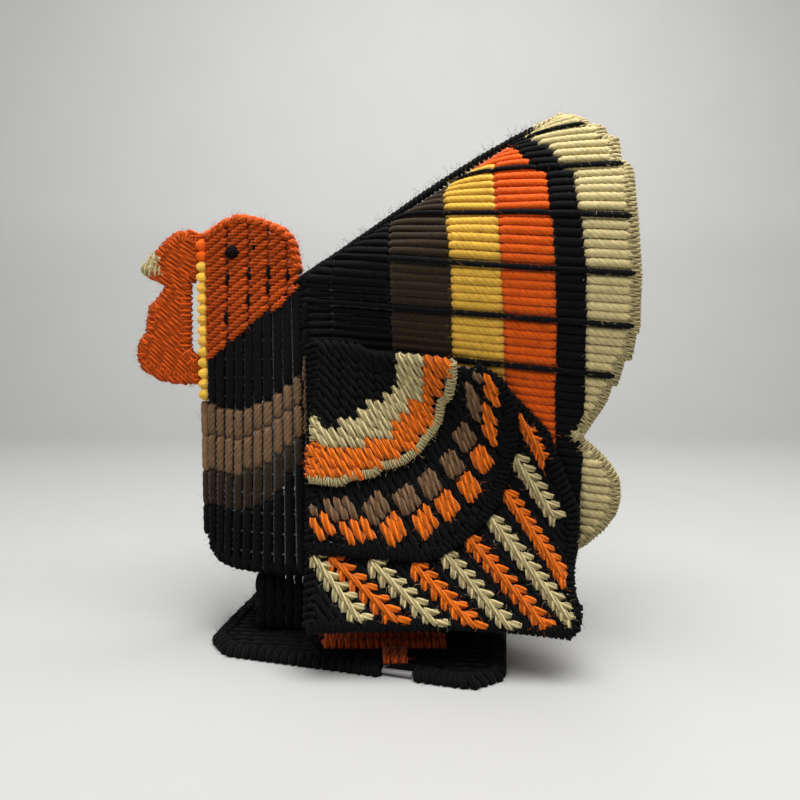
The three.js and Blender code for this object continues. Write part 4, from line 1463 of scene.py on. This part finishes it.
def stitch_floor():
    """Rows of black yarn along the floor of the body, to the floor's own outline."""
    floor = bpy.data.objects["body_floor"]
    points = np.array([floor.matrix_world @ vertex.co for vertex in floor.data.vertices]) / MM
    side = points[points[:, 1] < 0]
    side = side[np.argsort(side[:, 0])]
    top = points[:, 2].min() + PANEL_THICKNESS
    yarns = Yarns(flat_surface((0, 0, top), (1, 0, 0), (0, 1, 0)), 65, 1)
    grid = np.linspace(side[0, 0], side[-1, 0], 200)
    half = np.interp(grid, side[:, 0], -side[:, 1])
    for y in FLAT_ROWS:
        held = grid[half > abs(y) + 0.8]
        if len(held) > 8:
            yarns.stitch("black", (held[0], y), (held[-1], y), "floor")
    sewn_through("floor_of_body", yarns, "body_floor", **BACK_YARN)


def stitch_feet():
    """Two braided rows beside the pedestal and a toe towards the base's edge, in orange."""
    yarns = Yarns(flat_surface((0, 0, FOOT["top"]), (1, 0, 0), (0, 1, 0)), 66, 1)
    for x in np.arange(FOOT["front"] + 1.2, FOOT["rear"], 2.6):
        for inner in (FOOT["inner"] + 2.2, FOOT["inner"] + 8.4):
            yarns.stitch("orange", (x - 0.6, -inner), (x + 0.9, -inner - 5.4), "foot")
    for x in np.arange(FOOT["toe_front"] + 1.3, FOOT["toe_rear"], 2.9):
        yarns.stitch("orange", (x, -FOOT["outer"] - 2), (x + 0.3, -FOOT["toe_out"]), "toe")
    sewn_pair("foot", yarns, "foot")


# Stage

SENSOR_WIDTH = 36
# Name, place, width in metres and power in watts
LAMPS = [
    ("top_light", (0.1, -0.15, 0.9), 0.8, 15.2), ("high_front_light", (0.0, -0.7, 0.8), 0.6, 1.2),
    ("left_light", (-0.7, -0.8, 0.5), 0.6, 0.8),
]
LAMP_TARGET = (0.0, 0.0, 0.1)


class TURKEY_OT_stage(bpy.types.Operator):
    """Set the floor, the backdrop, the light and the camera"""

    bl_idname = "turkey.stage"
    bl_label = "Stage"

    def execute(self, context):
        stage = context.scene.turkey_stage
        make_camera(context, stage)
        make_floor(context, stage)
        make_lights(context)
        context.scene.view_settings.view_transform = "Standard"
        return {"FINISHED"}


def make_camera(context, stage):
    """A level camera at the photograph's place."""
    data = bpy.data.cameras.new("camera")
    data.sensor_width = SENSOR_WIDTH
    data.lens = SENSOR_WIDTH * 0.9
    data.clip_start = 0.01
    data.shift_y = stage.frame_drop
    camera = bpy.data.objects.new("camera", data)
    context.collection.objects.link(camera)
    turn, distance = stage.camera_turn, stage.camera_distance
    camera.location = (distance * math.sin(turn), -distance * math.cos(turn), stage.camera_height)
    camera.rotation_euler = (math.pi / 2, 0, turn)
    context.scene.camera = camera


def stage_material(name, colour):
    """Matt paper with a faint mottle, and painted light that makes it a little lighter up the backdrop."""
    b = ShaderTree(name)
    places = b.places()
    light = b.math("MULTIPLY_ADD", b.noise(places, 14.0, 4.0), 0.06, 0.97)
    # Painted light: the paper is made lighter with height, up to 0.3 m up the backdrop
    height = b.math("MINIMUM", b.add("ShaderNodeSeparateXYZ", Vector=places).outputs[2], 0.3)
    light = b.math("MULTIPLY", light, b.math("MULTIPLY_ADD", height, 1.4, 1.0))
    return b.painted(b.vector("SCALE", tuple(colour), light), Roughness=0.8)


def make_floor(context, stage):
    """One sheet: a floor that sweeps up into a backdrop."""
    depth, rise, radius, width, bends = 0.55, 1.6, 0.25, 3.0, 12
    profile = [(-2.0, 0.0), (depth, 0.0)]
    for i in range(1, bends + 1):
        angle = (math.pi / 2) * i / bends
        profile.append((depth + radius * math.sin(angle), radius * (1 - math.cos(angle))))
    profile.append((depth + radius, rise))
    points = [(x, y, z) for y, z in profile for x in (-width, width)]
    faces = [(2 * i, 2 * i + 1, 2 * i + 3, 2 * i + 2) for i in range(len(profile) - 1)]
    mesh = bpy.data.meshes.new("floor")
    mesh.from_pydata(points, [], faces)
    mesh.polygons.foreach_set("use_smooth", [True] * len(faces))
    mesh.materials.append(stage_material("floor_paper", stage.floor_colour))
    floor = bpy.data.objects.new("floor", mesh)
    context.collection.objects.link(floor)


def make_lights(context):
    """Soft light from above, less of it from in front, and an even surround."""
    world = bpy.data.worlds.new("surround")
    world.use_nodes = True
    background = world.node_tree.nodes["Background"]
    background.inputs["Color"].default_value = (1.0, 1.0, 1.0, 1)
    background.inputs["Strength"].default_value = 0.2
    context.scene.world = world
    for name, place, size, power in LAMPS:
        data = bpy.data.lights.new(name, "AREA")
        data.size = size
        data.energy = power
        lamp = bpy.data.objects.new(name, data)
        context.collection.objects.link(lamp)
        lamp.location = place
        direction = np.array(LAMP_TARGET) - np.array(place)
        yaw = math.atan2(direction[1], direction[0])
        tilt = math.acos(-direction[2] / np.linalg.norm(direction))
        lamp.rotation_euler = (tilt, 0, yaw - math.pi / 2)


class TURKEY_PT_panel(bpy.types.Panel):
    """Lists the steps that make the figure"""

    bl_label = "Turkey"
    bl_space_type = "VIEW_3D"
    bl_region_type = "UI"
    bl_category = "Turkey"

    def draw(self, context):
        for step in STEPS:
            self.layout.operator(step.bl_idname)
        for group in (context.scene.turkey_yarn, context.scene.turkey_stage):
            for key in group.bl_rna.properties.keys():
                if key not in ("rna_type", "name"):
                    self.layout.prop(group, key)


STEPS = [
    TURKEY_OT_stage, TURKEY_OT_tail, TURKEY_OT_seams, TURKEY_OT_breast, TURKEY_OT_wings, TURKEY_OT_beak,
    TURKEY_OT_base,
]
CLASSES = [TurkeyYarn, TurkeyStage, *STEPS, TURKEY_PT_panel]


def register():
    """Registers the classes and hangs the settings on the scene."""
    for item in CLASSES:
        bpy.utils.register_class(item)
    bpy.types.Scene.turkey_yarn = bpy.props.PointerProperty(type=TurkeyYarn)
    bpy.types.Scene.turkey_stage = bpy.props.PointerProperty(type=TurkeyStage)


def unregister():
    """Takes the settings and the classes away again."""
    del bpy.types.Scene.turkey_stage
    del bpy.types.Scene.turkey_yarn
    for item in reversed(CLASSES):
        bpy.utils.unregister_class(item)


def main():
    """Makes everything in order."""
    register()
    for step in STEPS:
        group, name = step.bl_idname.split(".")
        getattr(getattr(bpy.ops, group), name)()


if __name__ == "__main__":
    main()
